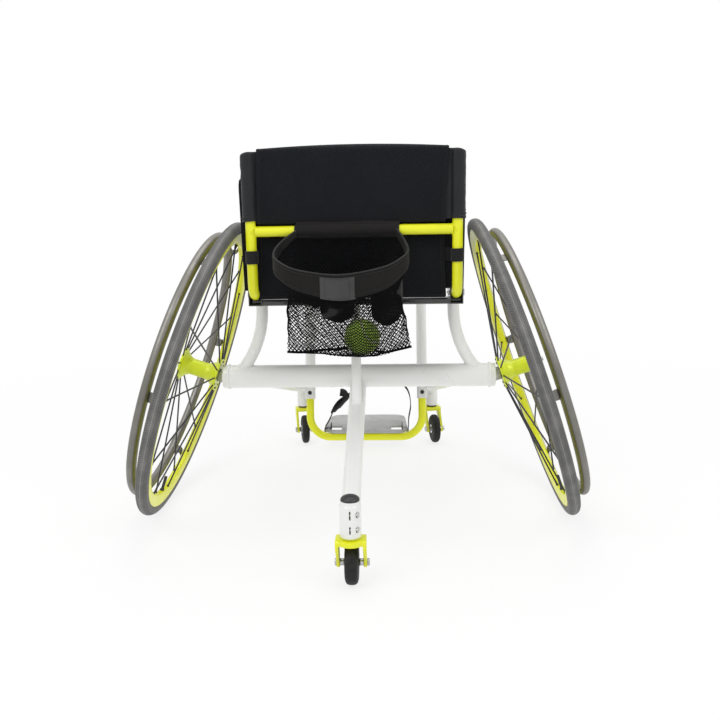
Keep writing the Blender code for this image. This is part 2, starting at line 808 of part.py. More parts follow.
for side, sign in SIDES:
    line = bent(
        [
            (sign * RAIL_X, RAIL_REAR_Y, rail_height(RAIL_REAR_Y)),
            (sign * RAIL_X, RAIL_TAPER_Y, rail_height(RAIL_TAPER_Y)),
            (sign * FRONT_X, corner_y, rail_height(corner_y)),
            (sign * FRONT_X, FRONT_Y, FRONT_Z),
        ],
        [0.20, FRONT_BEND],
        5,
    )
    rail = tube(f"seat_rail_{side}", white_paint, line, RAIL_R)
    mouth = Vector((sign * FRONT_X, FRONT_Y, FRONT_Z))
    cut(rail, cutting_rod(
        mouth - front_along * FOOT_TUBE_R, mouth + front_along * FOOT_BORE, FOOT_TUBE_R, 20
    ))
    bolt_seat = Vector((sign * FRONT_X, front_y(BOLT_Z), BOLT_Z))
    cut(rail, cutting_rod(
        bolt_seat + rearwards * 2 * RAIL_R, bolt_seat + rearwards * FOOT_TUBE_R * 0.8,
        CLAMP_BOLT_R, 12,
    ))
    carry(settle(rail), chair_frame)

    shank = RAIL_R - FOOT_TUBE_R - CLEAR
    bolt = turned(
        f"clamp_bolt_{side}", black_plastic,
        [
            (0.0, CLAMP_BOLT_HEAD),
            (CLAMP_BOLT_HEAD_R - 0.0012, CLAMP_BOLT_HEAD),
            (CLAMP_BOLT_HEAD_R, CLAMP_BOLT_HEAD - 0.0014),
            (CLAMP_BOLT_HEAD_R, 0.0),
            (CLAMP_BOLT_R, 0.0),
            (CLAMP_BOLT_R, -shank),
            (0.0, -shank),
        ],
        12,
    )
    bolt.parent = chair_frame
    bolt.location = bolt_seat + rearwards * (RAIL_R + CLEAR)
    bolt.rotation_euler = (math.pi / 2 - math.atan(FRONT_SLOPE), 0.0, 0.0)

    sweep = math.acos(1 - UPRIGHT_SPLAY / UPRIGHT_BEND)
    arc_line = []
    for i in range(6):
        angle = sweep * i / 5
        arc_line.append(Vector((
            sign * (UPRIGHT_TOP_X + UPRIGHT_BEND * (1 - math.cos(angle))),
            0.0,
            UPRIGHT_TOP_Z - UPRIGHT_BEND * math.sin(angle),
        )))
    down = Vector((sign * math.sin(sweep), 0.0, -math.cos(sweep)))
    foot = arc_line[-1] + down * ((arc_line[-1].z - CAMBER_TUBE_Z) / math.cos(sweep))
    top = Vector((sign * UPRIGHT_TOP_X, 0.0, rail_height(0.0)))
    upright = tube(f"rear_upright_{side}", white_paint, [top] + arc_line + [foot], UPRIGHT_R, 3)
    cut(upright, cutting_rod(
        (sign * RAIL_X, -SLING_FRONT, rail_height(-SLING_FRONT)),
        (sign * RAIL_X, SLING_FRONT, rail_height(SLING_FRONT)), RAIL_R,
    ))
    cut(upright, cutting_rod(
        (0.0, 0.0, CAMBER_TUBE_Z), (sign * 2 * CAMBER_TUBE_HALF, 0.0, CAMBER_TUBE_Z), CAMBER_TUBE_R, 32
    ))
    carry(settle(upright), chair_frame)

    lower_line = [
        Vector((sign * LOWER_RAIL_X, 0.0, LOWER_RAIL_Z)),
        Vector((sign * meet_x, meet_y, LOWER_MEET_Z)),
        Vector((sign * CASTER_X, CASTER_Y, housing_mid)),
    ]
    lower = tube(f"lower_rail_{side}", white_paint, lower_line, LOWER_RAIL_R)
    cut(lower, cutting_rod(
        (0.0, 0.0, CAMBER_TUBE_Z), (sign * 2 * CAMBER_TUBE_HALF, 0.0, CAMBER_TUBE_Z), CAMBER_TUBE_R, 32
    ))
    cut(lower, cutting_rod(
        (sign * CASTER_X, CASTER_Y, housing_low - CASTER_HOUSING),
        (sign * CASTER_X, CASTER_Y, housing_low + 2 * CASTER_HOUSING), CASTER_HOUSING_R,
    ))
    carry(settle(lower), chair_frame)


# Front casters: housing with its seal, fork with its stem, axle and wheel

def fork_block(name, look, half, gap_half, crown, top, axle_z, trail, end_r, front, rear):
    """A fork: its side outline pushed across its width, with the wheel's slot cut out."""
    bevel = crown / 4
    start = 200 if trail < 0 else 160
    outline = [(front, top - crown * 1.6), (front, top - bevel), (front - bevel, top)]
    outline += [(rear + bevel, top), (rear, top - bevel), (rear, top - crown * 1.6)]
    outline += arc((trail, axle_z), end_r, start, start + 180, 8)
    body = outline_plate(name, look, [outline], 2 * half)
    place = Matrix(((0, 0, 1, 0), (1, 0, 0, 0), (0, 1, 0, 0), (0, 0, 0, 1)))
    body.data.transform(place)
    low = (-gap_half, min(rear, trail) - top, -end_r)
    high = (gap_half, max(front, trail) + top, top - crown)
    cut(body, block("slot", look, low, high))
    return body


for side, sign in SIDES:
    carrier = caster_pivots[side]
    housing = turned(
        f"caster_housing_{side}", white_paint,
        [
            (0.0, housing_low + CASTER_HOUSING),
            (CASTER_HOUSING_R - 0.003, housing_low + CASTER_HOUSING),
            (CASTER_HOUSING_R, housing_low + CASTER_HOUSING - 0.002),
            (CASTER_HOUSING_R, housing_low),
            (STEM_R + RUN_FIT, housing_low),
            (STEM_R + RUN_FIT, housing_low + STEM_LENGTH - 0.002),
            (0.0, housing_low + STEM_LENGTH - 0.002),
        ],
        20,
    )
    housing.parent = chair_frame
    housing.location = (sign * CASTER_X, CASTER_Y, 0.0)

    fork = fork_block(
        f"caster_fork_{side}", yellow_paint, FORK_HALF, FORK_GAP_HALF, FORK_CROWN, FORK_TOP,
        CASTER_WHEEL_R, -CASTER_TRAIL, FORK_END_R, 0.014, -0.016,
    )
    seat = rod("seal", yellow_paint, (0, 0, FORK_TOP - 0.004), (0, 0, FORK_TOP + SEAL_HEIGHT), SEAL_R, 16)
    join(fork, seat)
    join(fork, rod(
        "stem", yellow_paint, (0, 0, FORK_TOP - 0.002),
        (0, 0, housing_low + STEM_LENGTH - 0.004), STEM_R, 16,
    ))
    cut(fork, cutting_rod(
        (-2 * FORK_HALF, -CASTER_TRAIL, CASTER_WHEEL_R),
        (2 * FORK_HALF, -CASTER_TRAIL, CASTER_WHEEL_R), CASTER_AXLE_R, 12,
    ))
    mount(settle(fork), carrier)

    tread = 0.75 * CASTER_WHEEL_HALF
    roll = CASTER_WHEEL_R / math.cos(math.pi / CASTER_STEPS)
    wheel = turned(
        f"caster_wheel_{side}", caster_rubber,
        [
            (CASTER_AXLE_R + RUN_FIT, CASTER_WHEEL_HALF),
            (roll - 0.010, CASTER_WHEEL_HALF),
            (roll - 0.003, tread),
            (roll, 0.004),
            (roll, -0.004),
            (roll - 0.003, -tread),
            (roll - 0.010, -CASTER_WHEEL_HALF),
            (CASTER_AXLE_R + RUN_FIT, -CASTER_WHEEL_HALF),
        ],
        CASTER_STEPS, math.pi / CASTER_STEPS, closed=True,
    )
    mount(wheel, carrier, (0.0, -CASTER_TRAIL, CASTER_WHEEL_R), (0.0, math.pi / 2, 0.0))

    axle = turned(
        f"caster_axle_{side}", steel,
        [
            (0.0, FORK_HALF + 0.0045),
            (0.006, FORK_HALF + 0.0045),
            (0.0068, FORK_HALF + 0.0035),
            (0.0068, FORK_HALF + CLEAR),
            (CASTER_AXLE_R - 0.0001, FORK_HALF + CLEAR),
            (CASTER_AXLE_R - 0.0001, -FORK_HALF - CLEAR),
            (0.0068, -FORK_HALF - CLEAR),
            (0.0068, -FORK_HALF - 0.0035),
            (0.006, -FORK_HALF - 0.0045),
            (0.0, -FORK_HALF - 0.0045),
        ],
        12,
    )
    mount(axle, carrier, (0.0, -CASTER_TRAIL, CASTER_WHEEL_R), (0.0, math.pi / 2, 0.0))


# Anti-tip caster: arm, brace, housing, cap, fork, axle and wheel

arm_start = Vector((0.0, 0.0, ARM_TOP_Z))
arm_end = Vector((0.0, FIFTH_Y, ARM_END_Z))
arm = rod("fifth_arm", white_paint, arm_start, arm_end, ARM_R, 24)
cut(arm, cutting_rod(
    (-2 * ARM_R, 0.0, CAMBER_TUBE_Z), (2 * ARM_R, 0.0, CAMBER_TUBE_Z), CAMBER_TUBE_R, 32
))
cut(arm, cutting_rod((0, FIFTH_Y, 0), (0, FIFTH_Y, 2 * ARM_END_Z), FIFTH_HOUSING_R))
carry(settle(arm), chair_frame)

arm_share = BRACE_FOOT_Y / FIFTH_Y
brace_foot = arm_start.lerp(arm_end, arm_share)
brace = rod("arm_brace", white_paint, brace_foot, (0.0, BAR_Y, BAR_Z), BRACE_R, 16)
cut(brace, cutting_rod(arm_start, arm_end, ARM_R))
cut(brace, cutting_rod((-2 * BRACE_R, BAR_Y, BAR_Z), (2 * BRACE_R, BAR_Y, BAR_Z), BAR_R))
carry(settle(brace), chair_frame)

fifth_low = FIFTH_FORK_TOP + 0.004 + 2 * CLEAR
fifth_top = fifth_low + FIFTH_HOUSING
fifth_housing = turned(
    "fifth_housing", white_paint,
    [
        (STEM_R + RUN_FIT, fifth_top),
        (FIFTH_RIM_R, fifth_top),
        (FIFTH_RIM_R, fifth_top - FIFTH_RIM),
        (FIFTH_HOUSING_R, fifth_top - FIFTH_RIM - 0.0012),
        (FIFTH_HOUSING_R, fifth_low),
        (STEM_R + RUN_FIT, fifth_low),
    ],
    24, closed=True,
)
for name, slit_low, slit_high in (("low", 0.008, 0.021), ("top", 0.032, 0.047)):
    cut(fifth_housing, block(
        "slit", white_paint,
        (-FIFTH_SLIT / 2, -FIFTH_HOUSING_R - 0.01, fifth_low + slit_low),
        (FIFTH_SLIT / 2, -STEM_R, fifth_low + slit_high),
    ))
    bolt_z = fifth_low + (slit_low + slit_high) / 2
    cut(fifth_housing, cutting_rod(
        (PINCH_END_X - CLEAR, PINCH_Y, bolt_z), (PINCH_SEAT_X + 0.001, PINCH_Y, bolt_z), PINCH_R, 12
    ))
    cut(fifth_housing, cutting_rod(
        (PINCH_SEAT_X, PINCH_Y, bolt_z), (PINCH_SEAT_X + 0.02, PINCH_Y, bolt_z), PINCH_HEAD_R, 16
    ))
    pinch_bolt = turned(
        f"pinch_bolt_{name}", steel,
        [
            (0.0, PINCH_SEAT_X + CLEAR + PINCH_HEAD),
            (PINCH_HEAD_R - 0.0008, PINCH_SEAT_X + CLEAR + PINCH_HEAD),
            (PINCH_HEAD_R, PINCH_SEAT_X + CLEAR + PINCH_HEAD - 0.0008),
            (PINCH_HEAD_R, PINCH_SEAT_X + CLEAR),
            (PINCH_R, PINCH_SEAT_X + CLEAR),
            (PINCH_R, PINCH_END_X),
            (0.0, PINCH_END_X),
        ],
        12,
    )
    pinch_bolt.parent = chair_frame
    pinch_bolt.location = (0.0, FIFTH_Y + PINCH_Y, bolt_z)
    pinch_bolt.rotation_euler = (0.0, math.pi / 2, 0.0)
settle(fifth_housing)
fifth_housing.parent = chair_frame
fifth_housing.location = (0.0, FIFTH_Y, 0.0)

cap_seat = fifth_top + CLEAR
fifth_cap = turned(
    "fifth_cap", black_plastic,
    [
        (0.0, cap_seat + FIFTH_CAP_RISE),
        (FIFTH_CAP_R * 0.50, cap_seat + FIFTH_CAP_RISE * 0.92),
        (FIFTH_CAP_R * 0.80, cap_seat + FIFTH_CAP_RISE * 0.68),
        (FIFTH_CAP_R * 0.96, cap_seat + FIFTH_CAP_RISE * 0.38),
        (FIFTH_CAP_R, cap_seat + FIFTH_CAP_RISE * 0.14),
        (FIFTH_CAP_R, cap_seat),
        (STEM_R, cap_seat),
        (STEM_R, fifth_top - FIFTH_CAP_PLUG),
        (0.0, fifth_top - FIFTH_CAP_PLUG),
    ],
    24,
)
fifth_cap.parent = chair_frame
fifth_cap.location = (0.0, FIFTH_Y, 0.0)

fifth_fork = fork_block(
    "fifth_fork", yellow_paint, FIFTH_FORK_HALF, FIFTH_FORK_GAP_HALF, FIFTH_FORK_CROWN,
    FIFTH_FORK_TOP, FIFTH_WHEEL_R, FIFTH_TRAIL, 0.0085, 0.016, -0.016,
)
join(fifth_fork, rod(
    "crown", yellow_paint, (0, 0, FIFTH_FORK_TOP - FIFTH_FORK_CROWN), (0, 0, FIFTH_FORK_TOP),
    FIFTH_CROWN_R, 24,
))
join(fifth_fork, rod(
    "stem", yellow_paint, (0, 0, FIFTH_FORK_TOP - 0.003),
    (0, 0, fifth_top - FIFTH_CAP_PLUG - 0.0015), STEM_R, 16,
))
join(fifth_fork, rod(
    "seat", yellow_paint, (0, 0, FIFTH_FORK_TOP - 0.002), (0, 0, FIFTH_FORK_TOP + 0.004), 0.012, 16,
))
cut(fifth_fork, cutting_rod(
    (-2 * FIFTH_FORK_HALF, FIFTH_TRAIL, FIFTH_WHEEL_R),
    (2 * FIFTH_FORK_HALF, FIFTH_TRAIL, FIFTH_WHEEL_R), CASTER_AXLE_R, 12,
))
mount(settle(fifth_fork), fifth_pivot)

roll = FIFTH_WHEEL_R / math.cos(math.pi / CASTER_STEPS)
fifth_wheel = turned(
    "fifth_wheel", caster_rubber,
    [
        (CASTER_AXLE_R + RUN_FIT, FIFTH_WHEEL_HALF),
        (roll - 0.012, FIFTH_WHEEL_HALF),
        (roll - 0.0045, FIFTH_WHEEL_HALF * 0.78),
        (roll, FIFTH_WHEEL_HALF * 0.3),
        (roll, -FIFTH_WHEEL_HALF * 0.3),
        (roll - 0.0045, -FIFTH_WHEEL_HALF * 0.78),
        (roll - 0.012, -FIFTH_WHEEL_HALF),
        (CASTER_AXLE_R + RUN_FIT, -FIFTH_WHEEL_HALF),
    ],
    CASTER_STEPS, math.pi / CASTER_STEPS, closed=True,
)
mount(fifth_wheel, fifth_pivot, (0.0, FIFTH_TRAIL, FIFTH_WHEEL_R), (0.0, math.pi / 2, 0.0))

fifth_axle = turned(
    "fifth_axle", steel,
    [
        (0.0, FIFTH_FORK_HALF + 0.0045),
        (0.0062, FIFTH_FORK_HALF + 0.0045),
        (0.0062, FIFTH_FORK_HALF + CLEAR),
        (CASTER_AXLE_R - 0.0001, FIFTH_FORK_HALF + CLEAR),
        (CASTER_AXLE_R - 0.0001, FIFTH_FORK_GAP_HALF - CLEAR),
        (FIFTH_SPACER_R, FIFTH_FORK_GAP_HALF - CLEAR),
        (FIFTH_SPACER_R, FIFTH_WHEEL_HALF + CLEAR),
        (CASTER_AXLE_R - 0.0001, FIFTH_WHEEL_HALF + CLEAR),
        (CASTER_AXLE_R - 0.0001, -FIFTH_WHEEL_HALF - CLEAR),
        (FIFTH_SPACER_R, -FIFTH_WHEEL_HALF - CLEAR),
        (FIFTH_SPACER_R, -FIFTH_FORK_GAP_HALF + CLEAR),
        (CASTER_AXLE_R - 0.0001, -FIFTH_FORK_GAP_HALF + CLEAR),
        (CASTER_AXLE_R - 0.0001, -FIFTH_FORK_HALF - CLEAR),
        (0.0062, -FIFTH_FORK_HALF - CLEAR),
        (0.0062, -FIFTH_FORK_HALF - 0.0035),
        (0.0, -FIFTH_FORK_HALF - 0.0035),
    ],
    12,
)
mount(fifth_axle, fifth_pivot, (0.0, FIFTH_TRAIL, FIFTH_WHEEL_R), (0.0, math.pi / 2, 0.0))


# Back: hinge bar with its clevises, pins, posts, crossbar, vinyl panel, strap and cover

hinge_bar = rod(
    "hinge_bar", black_paint, (-RAIL_X, BAR_Y, BAR_Z), (RAIL_X, BAR_Y, BAR_Z), BAR_R, 16
)
slot_half = CLEVIS_HALF - CLEVIS_CHEEK
clevis_front = RAIL_REAR_Y - RAIL_R * math.sin(math.atan(RAIL_SLOPE)) - CLEAR
for side, sign in SIDES:
    join(hinge_bar, block(
        "clevis", black_paint,
        (sign * RAIL_X - CLEVIS_HALF, CLEVIS_REAR_Y, CLEVIS_FLOOR),
        (sign * RAIL_X + CLEVIS_HALF, clevis_front, CLEVIS_TOP),
    ))
for side, sign in SIDES:
    cut(hinge_bar, block(
        "clevis_slot", black_paint,
        (sign * RAIL_X - slot_half, CLEVIS_REAR_Y - CLEVIS_HALF, CLEVIS_FLOOR + CLEVIS_CHEEK),
        (sign * RAIL_X + slot_half, clevis_front - CLEVIS_CHEEK * 0.6, CLEVIS_TOP + CLEVIS_HALF),
    ))
    cut(hinge_bar, cutting_rod(
        (sign * RAIL_X - 2 * CLEVIS_HALF, PIVOT_Y, PIVOT_Z),
        (sign * RAIL_X + 2 * CLEVIS_HALF, PIVOT_Y, PIVOT_Z), PIVOT_R, 12,
    ))
carry(settle(hinge_bar), chair_frame)

for side, sign in SIDES:
    pin = turned(
        f"back_pivot_{side}", steel,
        [
            (0.0, CLEVIS_HALF + 0.003),
            (0.0058, CLEVIS_HALF + 0.003),
            (0.0065, CLEVIS_HALF + 0.002),
            (0.0065, CLEVIS_HALF + CLEAR),
            (PIVOT_R, CLEVIS_HALF + CLEAR),
            (PIVOT_R, -CLEVIS_HALF - CLEAR),
            (0.0055, -CLEVIS_HALF - CLEAR),
            (0.0055, -CLEVIS_HALF - 0.0022),
            (0.0, -CLEVIS_HALF - 0.0022),
        ],
        12,
    )
    pin.parent = chair_frame
    pin.location = (sign * RAIL_X, PIVOT_Y, PIVOT_Z)
    pin.rotation_euler = (0.0, sign * math.pi / 2, 0.0)

    line = bent(
        [
            (sign * RAIL_X, POST_Y, POST_TOP),
            (sign * RAIL_X, POST_Y, PIVOT_Z),
            (sign * RAIL_X, PIVOT_Y + POST_STUB, PIVOT_Z),
        ],
        [POST_BEND],
        5,
    )
    post = tube(f"back_post_{side}", yellow_paint, line, POST_R, 4)
    cut(post, cutting_rod(
        (sign * RAIL_X - 2 * CLEVIS_HALF, PIVOT_Y, PIVOT_Z),
        (sign * RAIL_X + 2 * CLEVIS_HALF, PIVOT_Y, PIVOT_Z), PIVOT_R, 12, RUN_FIT,
    ))
    carry(settle(post), back_pivot)

crossbar = rod(
    "back_crossbar", yellow_paint, (-RAIL_X, POST_Y, CROSSBAR_Z), (RAIL_X, POST_Y, CROSSBAR_Z),
    POST_R, 16,
)
for side, sign in SIDES:
    cut(crossbar, cutting_rod(
        (sign * RAIL_X, POST_Y, CROSSBAR_Z - 3 * POST_R),
        (sign * RAIL_X, POST_Y, CROSSBAR_Z + 3 * POST_R), POST_R,
    ))
carry(settle(crossbar), back_pivot)


def post_band(name, look, low, high, wall, near, far, start, end, shoulder, edge=0.0):
    """A band between the posts with a loop round each: near and far are its two faces,
    measured forwards from the posts' centres, and start and end are where a loop leaves it."""
    outer = (POST_R + CLEAR) / math.cos(math.pi / 16) + wall
    loop = arc((RAIL_X, 0.0), outer, start, end, 14)
    if edge:
        loop = [(x + edge * max(0.0, (x - RAIL_X) / outer), y) for x, y in loop]
    right = [(shoulder, near)] + loop + [(shoulder, far)]
    left = [(-x, y) for x, y in reversed(right)]
    hole = arc((RAIL_X, 0.0), (POST_R + CLEAR) / math.cos(math.pi / 16), 0, 337.5, 15)
    band = outline_plate(
        name, look, [right + left, hole, [(-x, y) for x, y in hole]], high - low
    )
    band.data.transform(Matrix.Translation((0.0, POST_Y, (low + high) / 2)))
    return carry(band, back_pivot)


post_band("back_panel", vinyl, PANEL_BOTTOM, PANEL_TOP, VINYL, PANEL_THICK / 2,
          -PANEL_THICK / 2, 168, -168, RAIL_X - BAND_SHOULDER, PANEL_EDGE)

sleeve_bore = (POST_R + CLEAR) / math.cos(math.pi / 16)
cover_rear_y = POST_Y - PANEL_THICK / 2 - CLEAR - COVER_THICK / 2
cover_low_y = POST_Y + sleeve_bore + SLEEVE_WALL + CLEAR + COVER_THICK / 2
cover_front_y = cover_low_y + COVER_FRONT_GAP
cover_half_top = RAIL_X - POST_R - COVER_SIDE_TOP
cover_half_low = RAIL_X - POST_R - COVER_SIDE_LOW
strap_near = cover_low_y + COVER_THICK / 2 + CLEAR - POST_Y
post_band("back_strap", webbing, STRAP_BOTTOM, STRAP_TOP, STRAP_THICK,
          strap_near + STRAP_THICK, strap_near, 90, -215, cover_half_low + 0.0012)


# The cover's front layer is as wide as the panel and hangs in front of the posts. From its top
# it turns back over the panel's edge, hangs down behind the panel, and passes in front of the
# crossbar to the seat.
def part_way(low, high, share):
    return low + (high - low) * share


cover_turn_y = (cover_front_y + cover_rear_y) / 2
cover_turn = (cover_front_y - cover_rear_y) / 2
front_low = RAIL_X + POST_R + COVER_FRONT_LOW
front_top = RAIL_X + POST_R + COVER_FRONT_TOP
front_path = [(part_way(COVER_FRONT_BOTTOM, PANEL_TOP, k / 5), part_way(front_low, front_top, k / 5))
              for k in range(5)]
cover_path = [(cover_front_y, z, half, 0.0) for z, half in front_path]
cover_path.append((cover_front_y, PANEL_TOP - COVER_CROWN, cover_half_top, 0.0))
for y, rise in arc((0.0, 0.0), 1.0, 30, 150, 4):
    cover_path.append((
        cover_turn_y + cover_turn * y, PANEL_TOP + 0.0022 + 0.0018 * rise, cover_half_top,
        COVER_CROWN * rise,
    ))
cover_path += [
    (cover_rear_y, PANEL_TOP + 0.001, cover_half_top, 0.0),
    (cover_rear_y, part_way(PANEL_BOTTOM, PANEL_TOP, 0.46), cover_half_top, 0.0),
    (cover_rear_y, PANEL_BOTTOM - 0.0025, cover_half_top, 0.0),
]
for z in (CROSSBAR_Z + POST_R + 0.0013, CROSSBAR_Z - POST_R * 0.8):
    cover_path.append((cover_low_y, z, cover_half_top, 0.0))
fold_start = len(cover_path) + 1
for k in range(4):
    z = part_way(CROSSBAR_Z - 4 * POST_R, COVER_BOTTOM, k / 3)
    cover_path.append((cover_low_y, z, part_way(cover_half_top, cover_half_low, (k + 1) / 4), 0.0))
cover_rows = []
for index, (y, z, half, crown) in enumerate(cover_path):
    fold = COVER_FOLD * max(0, index - fold_start) / (len(cover_path) - 1 - fold_start)
    row = []
    for k in range(9):
        share = k / 4 - 1
        wave = fold * 0.5 * (1 - math.cos(2 * math.pi * (share + 1)))
        row.append((half * share, y + wave, z + crown * (1 - share * share)))
    cover_rows.append(row)
cover = surface("back_cover", mesh_cloth, cover_rows)
shell(cover, COVER_THICK, 0.0)
carry(cover, back_pivot)


# Ball holder: a sleeve on the crossbar with a stiff band, the net below it, and the ball

holder = turned(
    "holder_band", neoprene,
    [
        (sleeve_bore, SLEEVE_RIGHT),
        (sleeve_bore + SLEEVE_WALL, SLEEVE_RIGHT),
        (sleeve_bore + SLEEVE_WALL, SLEEVE_LEFT),
        (sleeve_bore, SLEEVE_LEFT),
    ],
    16, closed=True,
)
settle(holder)
holder.data.transform(
    Matrix.Translation((0.0, POST_Y, CROSSBAR_Z)) @ Matrix.Rotation(math.pi / 2, 4, "Y")
)
mid_x = (HOLDER_SIDE_LEFT + HOLDER_SIDE_RIGHT) / 2
sleeve_rear = POST_Y - sleeve_bore - SLEEVE_WALL / 2
band_knots = [
    (SLEEVE_LEFT + 0.004, sleeve_rear, CROSSBAR_Z + 0.002, CROSSBAR_Z - 0.008),
    (HOLDER_SIDE_LEFT + 0.010, -0.108, 0.545, 0.527),
    (HOLDER_SIDE_LEFT, -0.130, 0.527, 0.502),
    (HOLDER_SIDE_LEFT + 0.012, -0.149, 0.514, 0.483),
    (HOLDER_SIDE_LEFT + 0.048, -0.1655, 0.500, 0.463),
    (mid_x, HOLDER_REAR_Y, HOLDER_REAR_TOP, HOLDER_REAR_LOW),
    (HOLDER_SIDE_RIGHT - 0.046, -0.1655, 0.503, 0.463),
    (HOLDER_SIDE_RIGHT - 0.012, -0.149, 0.518, 0.487),
    (HOLDER_SIDE_RIGHT, -0.130, 0.530, 0.506),
    (HOLDER_SIDE_RIGHT - 0.006, -0.108, 0.547, 0.530),
    (SLEEVE_RIGHT - 0.004, sleeve_rear, CROSSBAR_Z + 0.002, CROSSBAR_Z - 0.008),
]
top_line = smooth_line([(x, y, t) for x, y, t, b in band_knots], 3)
low_line = smooth_line([(x, y, b) for x, y, t, b in band_knots], 3)
band = surface("band", neoprene, [low_line, top_line])
shell(band, HOLDER_BAND, 0.0)
settle(band)
join(holder, band)
carry(settle(holder), back_pivot)


NET_COUNT = 24
ball_z = NET_BOTTOM + NET_WALL + BALL_FIT + BALL_R
net_round = (BALL_R + BALL_FIT + NET_WALL / 2) / math.cos(math.pi / 16)


def net_ring(left, right, half_depth, height, sag, corner):
    """One level of the net, a rounded oblong that sags towards the ball."""
    ring = []
    for i in range(NET_COUNT):
        angle = 2 * math.pi * (i + 0.5) / NET_COUNT
        c = math.cos(angle)
        s = math.sin(angle)
        x = (left + right) / 2 + (right - left) / 2 * math.copysign(abs(c) ** corner, c)
        y = BALL_Y + half_depth * math.copysign(abs(s) ** corner, s)
        ring.append((x, y, height + sag * ((x - BALL_X) / 0.12) ** 2))
    return ring


levels = []
for k in range(4):
    angle = math.radians(11.25 + 22.5 * k)
    sag = 0.009 * (1 - k / 4)
    levels.append(net_ring(
        NET_LEFT + 0.004 * (3 - k) / 3, NET_RIGHT - 0.004 * (3 - k) / 3,
        net_round * math.sin(angle), ball_z - net_round * math.cos(angle), sag, 0.4,
    ))
levels.append(net_ring(-0.119, 0.090, net_round * math.cos(math.pi / 16), 0.430, 0.0, 0.45))
seam = smooth_line([(x, y, b - NET_SEAM) for x, y, t, b in band_knots], 12)
sleeve_low = CROSSBAR_Z - sleeve_bore - SLEEVE_WALL - 0.0012
half_count = NET_COUNT // 2
top_ring = []
for k in range(half_count):
    share = (k + 0.5) / half_count
    top_ring.append((
        SLEEVE_RIGHT - 0.006 + share * (SLEEVE_LEFT - SLEEVE_RIGHT + 0.012),
        sleeve_rear + 0.001, sleeve_low,
    ))
for k in range(half_count):
    place = seam[round((len(seam) - 1) * (k + 0.5) / half_count)]
    top_ring.append((place.x, place.y, min(place.z, sleeve_low)))
levels.append(top_ring)
net_shape = bmesh.new()
rings = [[net_shape.verts.new(p) for p in level] for level in levels]
for lower, upper in zip(rings, rings[1:]):
    for i in range(NET_COUNT):
        k = (i + 1) % NET_COUNT
        net_shape.faces.new((lower[i], lower[k], upper[k], upper[i]))
for i in range(half_count - 1):
    j = NET_COUNT - 1 - i
    net_shape.faces.new((rings[0][i], rings[0][i + 1], rings[0][j - 1], rings[0][j]))
net = from_bmesh(net_shape, "ball_net", net_cord)
shell(net, NET_WALL, 0.0)
carry(net, back_pivot)

ball_shape = bmesh.new()
bmesh.ops.create_icosphere(ball_shape, subdivisions=3, radius=BALL_R)
ball = from_bmesh(ball_shape, "ball", ball_felt)
ball.data.transform(Matrix.Translation((BALL_X, BALL_Y, ball_z)))
carry(ball, back_pivot)


# Seat: a sling with a sleeve round each rail, and a cushion on it

rail_bore = (RAIL_R + CLEAR) / math.cos(math.pi / 12)
rail_tilt = math.atan(RAIL_SLOPE)
sling_outer = rail_bore + SLING_THICK
sling_outline = arc((RAIL_X, 0.0), sling_outer, 90, SLING_HOOK, 7)
sling_outline += arc((RAIL_X, 0.0), rail_bore, SLING_HOOK, 90, 7)
mirrored = [(-x, y) for x, y in reversed(sling_outline)]
sling = outline_plate(
    "seat_sling", webbing, [sling_outline + mirrored], (SLING_FRONT - SLING_REAR) / math.cos(rail_tilt)
)
sling_mid = (SLING_FRONT + SLING_REAR) / 2
sling.data.transform(
    Matrix.Translation((0.0, sling_mid, rail_height(sling_mid)))
    @ Matrix.Rotation(rail_tilt, 4, "X")
    @ Matrix(((1, 0, 0, 0), (0, 0, -1, 0), (0, 1, 0, 0), (0, 0, 0, 1)))
)
carry(sling, chair_frame)

cushion_shape = bmesh.new()
bmesh.ops.create_cube(cushion_shape, size=2.0)
bmesh.ops.subdivide_edges(
    cushion_shape, edges=cushion_shape.edges[:], cuts=3, use_grid_fill=True
)
cushion_half_y = (CUSHION_FRONT - CUSHION_REAR) / 2 / math.cos(rail_tilt)
for vert in cushion_shape.verts:
    x, y, z = vert.co
    drawn = CUSHION_DRAW * (1 - z * z)
    vert.co.x = x * (CUSHION_HALF - (drawn if abs(x) > 0.99 else 0.0))
    vert.co.y = y * (cushion_half_y - (drawn if abs(y) > 0.99 else 0.0))
    rise = CUSHION_CROWN * (1 - x ** 4) * (1 - y ** 4) if z > 0.99 else 0.0
    vert.co.z = (z + 1) / 2 * CUSHION_HEIGHT + rise
    if z > 0.99 and max(abs(x), abs(y)) > 0.99:
        vert.co.z -= 0.003
    if z > 0.99 and y < -0.99:
        vert.co.z -= 0.004
crease = cushion_shape.edges.layers.float.new("crease_edge")
for edge in cushion_shape.edges:
    if all(v.co.z < 0.0001 for v in edge.verts):
        edge[crease] = 0.9
cushion = from_bmesh(cushion_shape, "cushion", mesh_cloth)
fill = cushion.modifiers.new("soft", "SUBSURF")
fill.levels = 1
fill.render_levels = 1
cushion_mid = (CUSHION_FRONT + CUSHION_REAR) / 2
settle(cushion)
cushion.data.transform(
    Matrix.Translation((0.0, cushion_mid, rail_height(cushion_mid)))
    @ Matrix.Rotation(rail_tilt, 4, "X")
    @ Matrix.Translation((0.0, 0.0, sling_outer + CLEAR))
)
carry(cushion, chair_frame)


# Footrest: a U-shaped tube that slides in the front uprights, its plate and the foot strap

